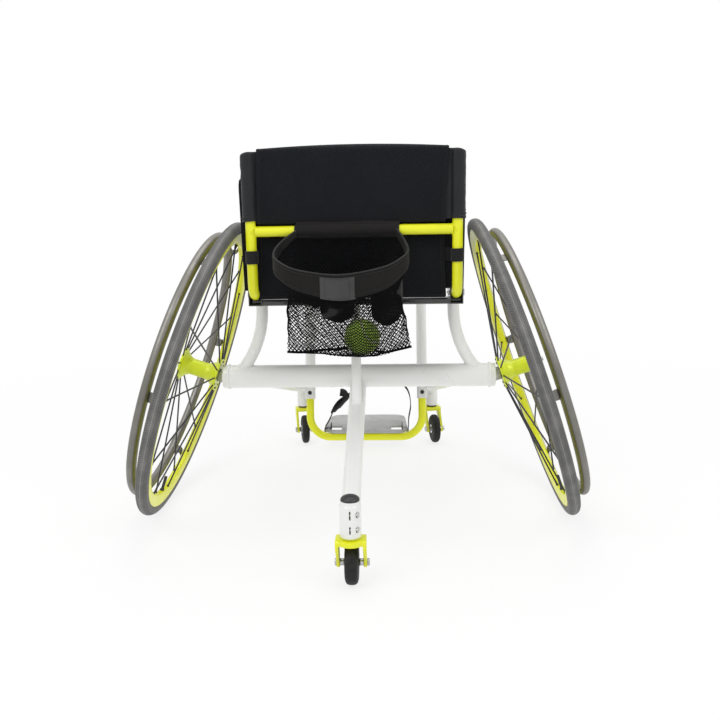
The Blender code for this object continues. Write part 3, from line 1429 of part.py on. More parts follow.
foot_start = Vector((0.0, FRONT_Y, FRONT_Z)) + front_along * FOOT_INSERT
bar_y = front_y(FOOT_BAR_Z)
foot_line = bent(
    [
        (-FRONT_X, foot_start.y, foot_start.z),
        (-FRONT_X, bar_y, FOOT_BAR_Z),
        (FRONT_X, bar_y, FOOT_BAR_Z),
        (FRONT_X, foot_start.y, foot_start.z),
    ],
    [FOOT_BEND, FOOT_BEND],
    7,
)
foot_tube = tube("footrest_tube", yellow_paint, foot_line, FOOT_TUBE_R, 4)
carry(foot_tube, foot_pivot)

plate_low = FOOT_BAR_Z + FOOT_TUBE_R + CLEAR
plate_outline = rounded(
    [
        (-PLATE_HALF_REAR, PLATE_REAR + PLATE_CHAMFER_Y),
        (-PLATE_HALF_REAR + PLATE_CHAMFER_X, PLATE_REAR),
        (PLATE_HALF_REAR - PLATE_CHAMFER_X, PLATE_REAR),
        (PLATE_HALF_REAR, PLATE_REAR + PLATE_CHAMFER_Y),
        (PLATE_HALF_FRONT, PLATE_FRONT),
        (-PLATE_HALF_FRONT, PLATE_FRONT),
    ],
    [0.008, 0.006, 0.006, 0.008, 0.028, 0.028], 3,
)
taper = (PLATE_HALF_FRONT - PLATE_HALF_REAR) / (PLATE_FRONT - PLATE_REAR - PLATE_CHAMFER_Y)
plate_half = PLATE_HALF_REAR + taper * (SLOT_Y - PLATE_REAR - PLATE_CHAMFER_Y)
slot_out = plate_half - SLOT_MARGIN
slot_half_y = FOOT_STRAP_WIDTH / 2 + FOOT_STRAP_PLAY
slots = []
for low, high in ((-slot_out, SLOT_LENGTH - slot_out), (slot_out - SLOT_LENGTH, slot_out)):
    slots.append(rounded(
        [
            (low, SLOT_Y - slot_half_y),
            (high, SLOT_Y - slot_half_y),
            (high, SLOT_Y + slot_half_y),
            (low, SLOT_Y + slot_half_y),
        ],
        [0.004] * 4, 2,
    ))
plate = outline_plate("footplate", grey_plate, [plate_outline] + slots, PLATE_THICK)
plate.data.transform(Matrix.Translation((0.0, 0.0, plate_low + PLATE_THICK / 2)))
carry(plate, foot_pivot)

# The strap goes round the plate's margin at each side, from its slot to its outer edge.
plate_top = plate_low + PLATE_THICK
strap_in = slot_out - CLEAR - FOOT_STRAP_THICK / 2
strap_out = plate_half - taper * FOOT_STRAP_WIDTH / 2 + CLEAR + FOOT_STRAP_THICK / 2
strap_under = plate_low - CLEAR - FOOT_STRAP_THICK / 2
wrap = [
    (strap_in, plate_top + 0.011),
    (strap_in, plate_low - CLEAR),
    (strap_in + 0.0009, strap_under),
    (strap_out - 0.0009, strap_under),
    (strap_out, plate_low - CLEAR),
    (strap_out, plate_top),
]
arch_knots = [
    (-strap_out, plate_top + 0.0015),
    (-0.0950, 0.071),
    (-0.0800, 0.099),
    (-0.0560, 0.127),
    (-0.0200, 0.158),
    (0.0300, 0.178),
    (0.0780, 0.174),
    (0.1040, 0.149),
    (0.1113, 0.112),
    (0.1065, 0.078),
    (strap_out, plate_top + 0.0015),
]
arch_line = smooth_line([(x, 0.0, z) for x, z in arch_knots], 2)
strap_line = [Vector((-x, 0.0, z)) for x, z in wrap] + arch_line
strap_line += [Vector((x, 0.0, z)) for x, z in reversed(wrap)]
strap_rows = []
for before, place, after in zip([strap_line[0]] + strap_line, strap_line, strap_line[1:] + [strap_line[-1]]):
    along = (after - before).normalized()
    turn = math.radians(STRAP_TWIST) * math.exp(-((place.x + 0.066) / 0.016) ** 2 / 2)
    turn = turn if place.z > 0.09 else 0.0
    width = Vector((0.0, math.cos(turn), 0.0)) + Vector((along.z, 0.0, -along.x)) * math.sin(turn)
    middle = place + Vector((0.0, SLOT_Y, 0.0))
    strap_rows.append([
        middle - width * FOOT_STRAP_WIDTH / 2, middle + width * FOOT_STRAP_WIDTH / 2
    ])
foot_strap = surface("foot_strap", webbing, strap_rows)
shell(foot_strap, FOOT_STRAP_THICK, 0.0)
carry(foot_strap, foot_pivot)
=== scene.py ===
import math

import bmesh
import bpy
import numpy as np
from mathutils import Matrix, Vector, noise
from mathutils.bvhtree import BVHTree


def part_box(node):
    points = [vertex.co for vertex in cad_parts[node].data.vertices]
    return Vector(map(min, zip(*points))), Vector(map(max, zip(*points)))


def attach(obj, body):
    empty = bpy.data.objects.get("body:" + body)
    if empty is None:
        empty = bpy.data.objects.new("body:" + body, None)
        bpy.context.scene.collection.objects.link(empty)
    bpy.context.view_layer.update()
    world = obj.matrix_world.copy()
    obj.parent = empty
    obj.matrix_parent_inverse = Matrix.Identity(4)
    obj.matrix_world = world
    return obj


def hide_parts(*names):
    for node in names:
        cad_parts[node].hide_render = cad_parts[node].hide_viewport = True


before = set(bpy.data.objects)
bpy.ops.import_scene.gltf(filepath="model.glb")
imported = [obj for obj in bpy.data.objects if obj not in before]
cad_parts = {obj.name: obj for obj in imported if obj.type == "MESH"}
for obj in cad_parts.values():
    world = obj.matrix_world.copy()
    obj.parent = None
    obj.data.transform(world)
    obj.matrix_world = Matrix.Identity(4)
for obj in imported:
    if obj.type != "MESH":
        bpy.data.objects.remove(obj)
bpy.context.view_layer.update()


# Camera, floor and lights. The chair stands on a plain white sweep and is seen from behind, from
# a little above its back. Every place below is measured from the axle line of the rear wheels.

axle_low, axle_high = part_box("camber_tube")
axle_shift = Vector((0.0, (axle_low[1] + axle_high[1]) / 2, 0.0))
scene = bpy.context.scene
scene.view_settings.view_transform = "Standard"


def add_node(tree, kind, inputs=None, **settings):
    """A node with its settings and its inputs, which are values or other nodes' sockets."""
    made = tree.nodes.new(kind)
    for key, value in settings.items():
        setattr(made, key, value)
    for key, value in (inputs or {}).items():
        if isinstance(value, bpy.types.NodeSocket):
            tree.links.new(value, made.inputs[key])
        else:
            made.inputs[key].default_value = value
    return made


def reckon(tree, operation, *values):
    inputs = dict(enumerate(values))
    return add_node(tree, "ShaderNodeMath", inputs, operation=operation).outputs[0]


def times(tree, first, second):
    return reckon(tree, "MULTIPLY", first, second)


def plus(tree, first, second):
    return reckon(tree, "ADD", first, second)


def blend_colours(tree, share, first, second):
    """A mix of two colours, each a socket or three numbers."""
    first, second = (c + (1.0,) if isinstance(c, tuple) else c for c in (first, second))
    mixed = add_node(tree, "ShaderNodeMix", {0: share, 6: first, 7: second}, data_type="RGBA")
    return mixed.outputs[2]


def spread(tree, value, low, high, to_low=0.0, to_high=1.0):
    ranged = add_node(tree, "ShaderNodeMapRange", {
        "Value": value, "From Min": low, "From Max": high, "To Min": to_low, "To Max": to_high,
    })
    return ranged.outputs[0]


CAMERA_PLACE = Vector((0.0746, -1.5819, 0.6267))
CAMERA_TURNS = (("Z", 2.573), ("X", 78.485), ("Z", -1.042))
FOCAL_LENGTH = 40.36
SENSOR_WIDTH = 36.0
camera = bpy.data.objects.new("camera", bpy.data.cameras.new("camera"))
camera.data.lens = FOCAL_LENGTH
camera.data.sensor_width = SENSOR_WIDTH
stand = Matrix.Translation(CAMERA_PLACE + axle_shift)
for axis, degrees in CAMERA_TURNS:
    stand = stand @ Matrix.Rotation(math.radians(degrees), 4, axis)
camera.matrix_world = stand
scene.collection.objects.link(camera)
scene.camera = camera

WHITE = (1.0, 1.0, 1.0, 1.0)
world = bpy.data.worlds.new("studio")
scene.world = world
world.use_nodes = True
rays = add_node(world.node_tree, "ShaderNodeLightPath").outputs
mirrored_ray = reckon(world.node_tree, "MAXIMUM", rays["Is Glossy Ray"], rays["Is Transmission Ray"])
sees_studio = reckon(world.node_tree, "MAXIMUM", rays["Is Camera Ray"], mirrored_ray)
backdrop = world.node_tree.nodes["Background"].inputs
world.node_tree.links.new(spread(world.node_tree, sees_studio, 0.0, 1.0, 0.62, 1.0), backdrop["Strength"])
backdrop["Color"].default_value = WHITE

FLOOR_R = 14.0
FLOOR_DROP = 0.0004
floor_shape = bmesh.new()
bmesh.ops.create_circle(floor_shape, cap_ends=True, segments=64, radius=FLOOR_R)
floor_mesh = bpy.data.meshes.new("floor")
floor_shape.to_mesh(floor_mesh)
floor_shape.free()
floor = bpy.data.objects.new("floor", floor_mesh)
floor.location.z = -FLOOR_DROP
scene.collection.objects.link(floor)
floor_look = bpy.data.materials.new("white_sweep")
floor_look.use_nodes = True
floor_tree = floor_look.node_tree
floor_place = add_node(floor_tree, "ShaderNodeTexCoord").outputs["Object"]
from_chair = add_node(floor_tree, "ShaderNodeVectorMath", {0: floor_place}, operation="LENGTH")
floor_paper = floor_tree.nodes["Principled BSDF"]
floor_paper.inputs["Base Color"].default_value = (0.93, 0.93, 0.93, 1.0)
floor_paper.inputs["Roughness"].default_value = 0.8
floor_paper.inputs["Specular IOR Level"].default_value = 0.1
floor_glow = add_node(floor_tree, "ShaderNodeEmission", {"Color": WHITE, "Strength": 1.0})
floor_mix = add_node(floor_tree, "ShaderNodeMixShader", {
    0: spread(floor_tree, from_chair.outputs["Value"], 0.7, 1.9, 0.80, 1.0),
    1: floor_paper.outputs[0], 2: floor_glow.outputs[0],
})
floor_tree.links.new(floor_mix.outputs[0], floor_tree.nodes["Material Output"].inputs["Surface"])
floor_mesh.materials.append(floor_look)

for name, place, aim, size, power in (
    ("lamp_over_left", (-1.6, -1.9, 2.6), (0.0, 0.0, 0.35), 1.6, 30.0),
    ("lamp_over_right", (1.8, -1.5, 2.3), (0.0, 0.0, 0.35), 1.6, 19.0),
    ("lamp_above", (0.0, 0.6, 2.9), (0.0, 0.0, 0.3), 2.0, 24.0),
):
    lamp = bpy.data.objects.new(name, bpy.data.lights.new(name, "AREA"))
    lamp.data.size = size
    lamp.data.energy = power
    lamp.location = place
    lamp.rotation_euler = (Vector(aim) - Vector(place)).to_track_quat("-Z", "Y").to_euler()
    scene.collection.objects.link(lamp)


# Rear wheels. Each is a round rubber tyre on a sprayed yellow rim, with a large-flange hub, 24
# black spokes held by nipples, and a satin metal pushrim bolted on by six tabs.

SIDES = (("left", -1.0), ("right", 1.0))
CAMBER = math.radians(18.5)
TYRE_RING = 0.2932
TYRE_R = 0.0118
TREAD_R = 0.01195
PUSHRIM_RING = 0.266
PUSHRIM_R = 0.0091
PUSHRIM_OFFSET = 0.0313
WHEEL_X = 0.3234
WHEEL_Z = TYRE_RING * math.cos(CAMBER) + TYRE_R
HUB_OUT = 0.035
HUB_IN = -0.043
HEAD_TOP = HUB_OUT + 0.0062
SOCKET_KINDS = {
    "Place": "Vector", "Shape": "Geometry", "Lines": "Geometry", "Copies": "Int", "Cord Sides": "Int",
    "Finish": "Material",
}


def new_look(name):
    look = bpy.data.materials.new(name)
    look.use_nodes = True
    return look, look.node_tree, look.node_tree.nodes["Principled BSDF"]


def new_group(name, inputs, outputs, kind="ShaderNodeTree"):
    """A node group with its two ends; sockets not named in SOCKET_KINDS are numbers."""
    tree = bpy.data.node_groups.new(name, kind)
    for names, way in ((inputs, "INPUT"), (outputs, "OUTPUT")):
        for socket in names:
            socket_type = "NodeSocket" + SOCKET_KINDS.get(socket, "Float")
            tree.interface.new_socket(socket, in_out=way, socket_type=socket_type)
    return tree, tree.nodes.new("NodeGroupInput").outputs, tree.nodes.new("NodeGroupOutput").inputs


def use_effect(tree, effect, inputs):
    return add_node(tree, "ShaderNodeGroup", inputs, node_tree=effect).outputs


def own_metres(tree):
    return add_node(tree, "ShaderNodeUVMap", uv_map="metres").outputs[0]


def parted(tree, place):
    return add_node(tree, "ShaderNodeSeparateXYZ", {0: place}).outputs


# Handling: soft patches of dust and dulling, fine scratches, and the grain of a sprayed coat.
handling, held, shown = new_group(
    "handling", ("Place", "Patch Size", "Grain Size"), ("Patches", "Scratches", "Grain")
)
patch = add_node(handling, "ShaderNodeTexNoise", {
    "Vector": held["Place"], "Scale": reckon(handling, "DIVIDE", 1.0, held["Patch Size"]),
    "Detail": 4.0, "Roughness": 0.6,
})
grain = add_node(handling, "ShaderNodeTexNoise", {
    "Vector": held["Place"], "Scale": reckon(handling, "DIVIDE", 1.0, held["Grain Size"]),
    "Detail": 2.0,
})
streaked = add_node(handling, "ShaderNodeMapping", {
    "Vector": held["Place"], "Rotation": (0.5, 0.3, 0.8), "Scale": (1.0, 14.0, 14.0),
})
scratch = add_node(handling, "ShaderNodeTexNoise", {
    "Vector": streaked.outputs[0], "Scale": 34.0, "Detail": 6.0,
})
handling.links.new(spread(handling, patch.outputs["Fac"], 0.38, 0.66), shown["Patches"])
handling.links.new(spread(handling, scratch.outputs["Fac"], 0.62, 0.70), shown["Scratches"])
handling.links.new(grain.outputs["Fac"], shown["Grain"])


def wear(tree, patch_size, grain_size):
    """The marks of handling, read from the piece's own place."""
    place = add_node(tree, "ShaderNodeTexCoord").outputs["Object"]
    return use_effect(tree, handling, {"Place": place, "Patch Size": patch_size, "Grain Size": grain_size})


def dress(tree, shader, tone, rough, height, strength, distance, numbers):
    """Links a look's colour, roughness and bump into its shader and sets its plain numbers."""
    bump = add_node(tree, "ShaderNodeBump", {"Strength": strength, "Distance": distance, "Height": height})
    for socket, name in ((tone, "Base Color"), (rough, "Roughness"), (bump.outputs[0], "Normal")):
        tree.links.new(socket, shader.inputs[name])
    for name, value in numbers.items():
        shader.inputs[name].default_value = value


def rigid_look(name, fresh, dulled, smooth, rough, metal=0.0, coat=0.0, peel=0.03, patch_size=0.07,
               grain_size=0.0022, specular=0.5):
    """Paint, metal or moulded plastic: its colour and gloss change in patches and scratches."""
    look, tree, shader = new_look(name)
    marks = wear(tree, patch_size, grain_size)
    worn = reckon(tree, "MAXIMUM", marks["Patches"], times(tree, marks["Scratches"], 0.7))
    tone = blend_colours(tree, worn, fresh, dulled)
    dress(tree, shader, tone, spread(tree, worn, 0.0, 1.0, smooth, rough), marks["Grain"], peel, 0.001, {
        "Metallic": metal, "Coat Weight": coat, "Coat Roughness": 0.12, "Specular IOR Level": specular,
    })
    return look


yellow_paint = rigid_look(
    "yellow_paint", (0.84, 0.86, 0.006), (0.78, 0.80, 0.008), 0.34, 0.46, coat=0.25, peel=0.05
)
black_plastic = rigid_look(
    "black_plastic", (0.016, 0.016, 0.017), (0.030, 0.030, 0.031), 0.38, 0.55, peel=0.2
)
steel = rigid_look("steel", (0.55, 0.55, 0.55), (0.42, 0.42, 0.41), 0.20, 0.36, metal=1.0, patch_size=0.02)
spoke_black = rigid_look("spoke_black", (0.006, 0.006, 0.007), (0.014, 0.014, 0.015), 0.34, 0.50)
yellow_anodised = rigid_look(
    "yellow_anodised", (0.68, 0.78, 0.010), (0.58, 0.66, 0.015), 0.28, 0.42, metal=0.2, coat=0.3
)
titanium = rigid_look(
    "titanium", (0.225, 0.217, 0.200), (0.200, 0.192, 0.174), 0.40, 0.50, metal=1.0, peel=0.05,
    patch_size=0.05, grain_size=0.0008,
)


def soften(points, size, steps=3):
    """A closed outline with its corners rounded off, in two or three dimensions."""
    points = [Vector(p) for p in points]
    loop = []
    for before, corner, after in zip([points[-1]] + points, points, points[1:] + [points[0]]):
        first = corner + (before - corner) * min(size / max((before - corner).length, 1e-9), 0.45)
        last = corner + (after - corner) * min(size / max((after - corner).length, 1e-9), 0.45)
        for k in range(steps + 1):
            t = k / steps
            loop.append(first * (1 - t) ** 2 + corner * 2 * t * (1 - t) + last * t * t)
    return loop


def skin(name, rows, loop=False, ring=True, caps=True, sharp=38.0):
    """A surface through rows of points, with a UV map in metres along and across the rows."""
    rows = np.array([[tuple(p) for p in row] for row in rows], float)
    count, around = rows.shape[:2]
    steps = np.linalg.norm(np.roll(rows, -1, axis=0) - rows, axis=2).mean(axis=1)
    along = np.concatenate([[0.0], np.cumsum(steps)])
    middle = rows[count // 2]
    across = np.concatenate([[0.0], np.cumsum(np.linalg.norm(np.roll(middle, -1, axis=0) - middle, axis=1))])
    faces = []
    uvs = []
    for i in range(count if loop else count - 1):
        j = (i + 1) % count
        for k in range(around if ring else around - 1):
            m = (k + 1) % around
            faces.append((i * around + k, i * around + m, j * around + m, j * around + k))
            uvs += [(along[i], across[k]), (along[i], across[k + 1])]
            uvs += [(along[i + 1], across[k + 1]), (along[i + 1], across[k])]
    if caps and ring and not loop:
        faces.append(tuple(range(around)))
        faces.append(tuple((count - 1) * around + k for k in range(around)))
        uvs += [(0.0, across[k]) for k in range(around)] * 2
    mesh = bpy.data.meshes.new(name)
    mesh.from_pydata(rows.reshape(-1, 3).tolist(), [], faces)
    layer = mesh.uv_layers.new(name="metres")
    layer.data.foreach_set("uv", np.array(uvs, np.float32).reshape(-1))
    shape = bmesh.new()
    shape.from_mesh(mesh)
    bmesh.ops.remove_doubles(shape, verts=shape.verts, dist=1e-6)
    bmesh.ops.recalc_face_normals(shape, faces=shape.faces)
    shape.to_mesh(mesh)
    shape.free()
    mesh.shade_smooth()
    mesh.set_sharp_from_angle(angle=math.radians(sharp))
    return mesh


def lathe(name, outline, steps=48, soft=0.0006):
    """A shape turned about +Z from a closed outline of (radius, height) points."""
    profile = soften(outline, soft, 2) if soft else [Vector(p) for p in outline]
    rows = []
    for i in range(steps):
        angle = 2 * math.pi * i / steps
        rows.append([(max(r, 0.0) * math.cos(angle), max(r, 0.0) * math.sin(angle), z) for r, z in profile])
    return skin(name, rows, loop=True)


def hoop(name, ring, thick, height, steps, sides, start=0.0):
    """A round tube bent into a ring about +Z at a height, with its UV seam at the angle start."""
    angles = [start + 2 * math.pi * k / sides for k in range(sides)]
    rows = []
    for i in range(steps):
        turn = Matrix.Rotation(2 * math.pi * i / steps, 4, "Z")
        rows.append([
            turn @ Vector((ring + thick * math.cos(a), 0.0, height + thick * math.sin(a))) for a in angles
        ])
    return skin(name, rows, loop=True, sharp=80.0)


def heading(line, i):
    """The way a line of points runs at one of them."""
    return (line[min(i + 1, len(line) - 1)] - line[max(i - 1, 0)]).normalized()


def pipe_rows(line, radius, sides=28):
    """Rings of points round a line, without a twist from one to the next."""
    line = [Vector(p) for p in line]
    radii = radius if isinstance(radius, (list, tuple)) else [radius] * len(line)
    side = None
    rows = []
    for i, (place, thick) in enumerate(zip(line, radii)):
        ahead = heading(line, i)
        if side is None:
            side = ahead.orthogonal().normalized()
        side = (side - ahead * side.dot(ahead)).normalized()
        up = ahead.cross(side)
        angles = [2 * math.pi * k / sides for k in range(sides)]
        rows.append([place + (side * math.cos(a) + up * math.sin(a)) * thick for a in angles])
    return rows


def join_meshes(name, meshes, sharp=38.0):
    """One mesh of several, which are used up."""
    whole = bmesh.new()
    whole.loops.layers.uv.new("metres")
    for mesh in meshes:
        whole.from_mesh(mesh)
        bpy.data.meshes.remove(mesh)
    joined = bpy.data.meshes.new(name)
    whole.to_mesh(joined)
    whole.free()
    joined.shade_smooth()
    joined.set_sharp_from_angle(angle=math.radians(sharp))
    return joined


def put(mesh, name, look, body, *stands_for, slot=None, matrix=None):
    """Places a finished mesh and says what it moves with and what it stands for; its slot argument is not
    used.
    """
    if matrix is not None:
        mesh.transform(matrix)
    mesh.transform(Matrix.Translation(axle_shift))
    mesh.materials.clear()
    mesh.materials.append(look)
    piece = bpy.data.objects.new(name, mesh)
    scene.collection.objects.link(piece)
    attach(piece, body)
    if stands_for:
        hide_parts(*stands_for)
    return piece


def wheel_stand(sign):
    """Stands a shape made about +Z in its wheel's place, with +Z out along the axle."""
    return (
        Matrix.Translation((sign * WHEEL_X, 0.0, WHEEL_Z))
        @ Matrix.Rotation(sign * (math.pi / 2 - CAMBER), 4, "Y")
    )


def new_repeat(name, *inputs):
    """A Geometry Nodes tree with named inputs that makes one shape."""
    return new_group(name, inputs, ("Shape",), "GeometryNodeTree")


def end_repeat(tree, laid, look, result):
    """Turns what is laid out into one plain mesh in one material, as the tree's result."""
    solid = add_node(tree, "GeometryNodeRealizeInstances", {0: laid.outputs[0]})
    finished = add_node(tree, "GeometryNodeSetMaterial", {"Geometry": solid.outputs[0], "Material": look})
    tree.links.new(finished.outputs[0], result["Shape"])


# The repeat round a hub: copies of one small mesh, turned about +Z by equal steps.
round_hub, given, result = new_repeat("round_the_hub", "Shape", "Copies", "First Turn", "Finish")
spots = add_node(round_hub, "GeometryNodePoints", {"Count": given["Copies"]})
step = reckon(round_hub, "DIVIDE", 2 * math.pi, given["Copies"])
number = add_node(round_hub, "GeometryNodeInputIndex").outputs[0]
turned_by = plus(round_hub, times(round_hub, number, step), given["First Turn"])
about_axle = add_node(round_hub, "ShaderNodeCombineXYZ", {"Z": turned_by})
copies = add_node(round_hub, "GeometryNodeInstanceOnPoints", {
    "Points": spots.outputs[0], "Instance": given["Shape"], "Rotation": about_axle.outputs[0],
})
end_repeat(round_hub, copies, given["Finish"], result)


def evaluated(piece):
    """A plain mesh of an object with its modifiers."""
    return bpy.data.meshes.new_from_object(piece.evaluated_get(bpy.context.evaluated_depsgraph_get()))


def settled(name, mesh, tree, values):
    """The plain mesh that a node tree makes of a mesh, with the tree's named inputs set."""
    carrier = bpy.data.objects.new(name, mesh)
    scene.collection.objects.link(carrier)
    modifier = carrier.modifiers.new("made", "NODES")
    modifier.node_group = tree
    for socket in tree.interface.items_tree:
        if socket.in_out == "INPUT" and socket.name in values:
            modifier[socket.identifier] = values[socket.name]
    carrier.update_tag()
    made = evaluated(carrier)
    bpy.data.objects.remove(carrier)
    bpy.data.meshes.remove(mesh)
    made.name = name
    return made


# Tyre rubber: a grey road tyre with a smooth worn middle and fine slanted cuts on its shoulders.
CUT_PITCH = 0.0044
tyre_rubber, tree, shader = new_look("tyre_rubber")
tyre_uv = parted(tree, own_metres(tree))
off_middle = reckon(tree, "ABSOLUTE", reckon(tree, "SUBTRACT", tyre_uv["Y"], math.pi * TYRE_R))
slanted = plus(tree, tyre_uv["X"], times(tree, off_middle, 0.8))
cuts = spread(tree, reckon(tree, "SINE", times(tree, slanted, 2 * math.pi / CUT_PITCH)), 0.1, 0.7)
shoulder_start = spread(tree, off_middle, 0.0042, 0.0052)
on_shoulder = times(tree, shoulder_start, spread(tree, off_middle, 0.0125, 0.0140, 1.0, 0.0))
centre_line = spread(tree, off_middle, 0.0006, 0.0011, 1.0, 0.0)
cut_in = times(tree, cuts, on_shoulder)
tyre_marks = wear(tree, 0.03, 0.0009)
tyre_tone = blend_colours(tree, tyre_marks["Patches"], (0.120, 0.119, 0.117), (0.190, 0.188, 0.184))
# The cuts are painted much darker than the rubber round them: painted shade in the grooves.
tyre_tone = blend_colours(tree, times(tree, cut_in, 0.75), tyre_tone, (0.045, 0.044, 0.042))
tyre_tone = blend_colours(tree, times(tree, centre_line, 0.4), tyre_tone, (0.34, 0.33, 0.31))
tyre_height = plus(tree, times(tree, cut_in, -1.0), times(tree, tyre_marks["Grain"], 0.12))
tyre_rough = spread(tree, tyre_marks["Patches"], 0.0, 1.0, 0.62, 0.80)
dress(tree, shader, tyre_tone, tyre_rough, tyre_height, 0.7, 0.0006, {"Specular IOR Level": 0.35})


def mm(*points):
    """Points given in millimetres, in metres."""
    return [tuple(v / 1000 for v in p) for p in points]


RIM_SECTION = mm(
    (284.2, 9.8), (285.8, 8.9), (285.8, 7.9), (282.2, 7.6), (280.5, 0), (282.2, -7.6), (285.8, -7.9),
    (285.8, -8.9), (284.2, -9.8), (279, -10), (267, -7.2), (263.2, -4.8), (263.2, 4.8), (267, 7.2), (279, 10),
)
HUB_SECTION = [
    (0.0098, 0.0267), (0.0143, 0.0267), (0.0143, HUB_OUT), (0.0330, HUB_OUT), (0.0330, HUB_OUT - 0.004),
    (0.0285, HUB_OUT - 0.0052), (0.0195, HUB_OUT - 0.0140), (0.0165, HUB_OUT - 0.020),
    (0.0165, HUB_IN + 0.026), (0.0195, HUB_IN + 0.018), (0.0285, HUB_IN + 0.0052),
    (0.0330, HUB_IN + 0.004), (0.0330, HUB_IN), (0.0143, HUB_IN), (0.0143, HUB_IN + 0.0083),
    (0.0098, HUB_IN + 0.0083),
]
BEARING_SECTION = [
    (0.0067, HUB_OUT - 0.0003), (0.0088, HUB_OUT - 0.0003), (0.0091, HUB_OUT - 0.0012),
    (0.0116, HUB_OUT - 0.0012), (0.0119, HUB_OUT - 0.0003), (0.0140, HUB_OUT - 0.0003),
    (0.0140, HUB_OUT - 0.008), (0.00935, HUB_OUT - 0.008), (0.00935, HUB_IN + 0.008),
    (0.0140, HUB_IN + 0.008), (0.0140, HUB_IN + 0.0003), (0.0067, HUB_IN + 0.0003),
]
SPOKE_FOOT = 0.0285
SPOKE_END = 0.2628
SPOKE_R = 0.00162


def spoke_pair():
    """One spoke to each flange, with its nipple at the rim and its head on the flange."""
    meshes = []
    for turn, foot_z, end_z, face_z in (
        (0.0, HUB_IN + 0.002, -0.004, HUB_IN - 0.0004),
        (math.pi / 12, HUB_OUT - 0.002, 0.004, HUB_OUT + 0.0004),
    ):
        turn_by = Matrix.Rotation(turn, 4, "Z")
        foot = Vector((SPOKE_FOOT, 0.0, foot_z))
        end = Vector((SPOKE_END, 0.0, end_z))
        along = (end - foot).normalized()
        shank = skin("spoke", pipe_rows([foot, end], SPOKE_R, 7))
        nipple_line = [end - along * d for d in (0.0135, 0.0130, 0.0020, 0.0016, -0.0002)]
        nipple = skin("nipple", pipe_rows(nipple_line, [0.0013, 0.0018, 0.0018, 0.0026, 0.0026], 8))
        crown_z = face_z + (face_z - foot_z) * 0.25
        head_line = [(SPOKE_FOOT, 0.0, z) for z in (foot_z, face_z, crown_z)]
        head = skin("spoke_head", pipe_rows(head_line, [0.0025, 0.0025, 0.0016], 8))
        for mesh in (shank, nipple, head):
            mesh.transform(turn_by)
            meshes.append(mesh)
    return join_meshes("spoke_pair", meshes)


def pushrim_tab():
    """One tab: a bent strip from under the pushrim to the rim's side, with a screw head."""
    back_r = 0.0016
    back_z = 0.0004
    strip = []
    for r, z in mm((266.2, 22.6), (266.8, 17.5), (268.8, 12.4), (273.5, 10.8), (279, 10.5)):
        half = 0.0095 if z > 0.014 else 0.0080
        strip.append([
            (r, -half, z), (r, half, z), (r - back_r, half, z - back_z), (r - back_r, -half, z - back_z),
        ])
    foot = skin("tab", strip, sharp=50.0)
    screw_line = mm((275.2, 0, 9.8), (275.2, 0, 12), (275.2, 0, 12.6))
    screw = skin("tab_screw", pipe_rows(screw_line, [0.0036, 0.0036, 0.0026], 12))
    return join_meshes("tab", [foot, screw])


VALVE_LINE = mm((265, 0, 0), (260, 0, 0), (259, 0, 0), (240, 0, 0), (238.5, 0, 0), (233, 0, 0))
VALVE_RADII = [0.0045, 0.0045, 0.0030, 0.0030, 0.0034, 0.0030]
VALVE_TURN = {"left": 187.0, "right": -7.0}
PIN_SECTION = [
    (0.0, HUB_OUT - 0.0002), (0.0048, HUB_OUT - 0.0002), (0.0048, HEAD_TOP), (0.0098, HEAD_TOP),
    (0.0110, HEAD_TOP - 0.0012), (0.0110, HUB_OUT + 0.0003), (0.00635, HUB_OUT + 0.0003),
    (0.00635, -0.0895), (0.0, -0.0895),
]
BUTTON_SECTION = [
    (0.0, HEAD_TOP + 0.0045), (0.0037, HEAD_TOP + 0.0045), (0.0045, HEAD_TOP + 0.0037),
    (0.0045, HUB_OUT + 0.0038), (0.0, HUB_OUT + 0.0038),
]
for side, sign in SIDES:
    stand = wheel_stand(sign)
    wheel = f"wheel_{side}"
    tyre = hoop("tyre", TYRE_RING, TREAD_R, 0.0, 168, 22, math.pi)
    pushrim = hoop("pushrim", PUSHRIM_RING, PUSHRIM_R, PUSHRIM_OFFSET, 160, 20)
    put(tyre, f"tyre_{side}_tread", tyre_rubber, wheel, f"tyre_{side}", matrix=stand)
    put(lathe("rim", RIM_SECTION, 144, 0.0008), f"rim_{side}_channel", yellow_paint, wheel, f"rim_{side}",
        matrix=stand)
    put(lathe("hub", HUB_SECTION, 56), f"hub_{side}_shell", yellow_anodised, wheel, f"hub_spokes_{side}",
        slot="spoked_hub", matrix=stand)
    put(lathe("bearings", BEARING_SECTION, 40, 0.0003), f"bearings_{side}", steel, wheel,
        f"bearing_set_{side}", matrix=stand)
    spokes = settled("spokes", spoke_pair(), round_hub, {
        "Copies": 12, "First Turn": 0.0, "Finish": spoke_black,
    })
    put(spokes, f"spokes_{side}", spoke_black, wheel, slot="spoked_hub", matrix=stand)
    put(pushrim, f"pushrim_{side}_tube", titanium, wheel, f"pushrim_{side}", matrix=stand)
    tabs = settled("tabs", pushrim_tab(), round_hub, {
        "Copies": 6, "First Turn": math.pi / 6, "Finish": titanium,
    })
    put(tabs, f"pushrim_{side}_tabs", titanium, wheel, matrix=stand)
    valve_turn = Matrix.Rotation(math.radians(VALVE_TURN[side]), 4, "Z")
    valve = skin("valve", pipe_rows(VALVE_LINE, VALVE_RADII, 14))
    put(valve, f"valve_{side}", black_plastic, wheel, slot="spoked_hub", matrix=stand @ valve_turn)
    pin = lathe("axle", PIN_SECTION, 32, 0.0003)
    put(pin, f"axle_{side}_pin", steel, "frame", f"axle_pin_{side}", matrix=stand)
    button = lathe("button", BUTTON_SECTION, 24, 0.0003)
    put(button, f"axle_{side}_button", steel, f"axle_button_{side}", f"axle_button_{side}", matrix=stand)


# Camber tube. A stout white tube carries both wheels, with a swaged collar near each end and a
# machined plug clamped in each mouth that takes the wheel's axle.

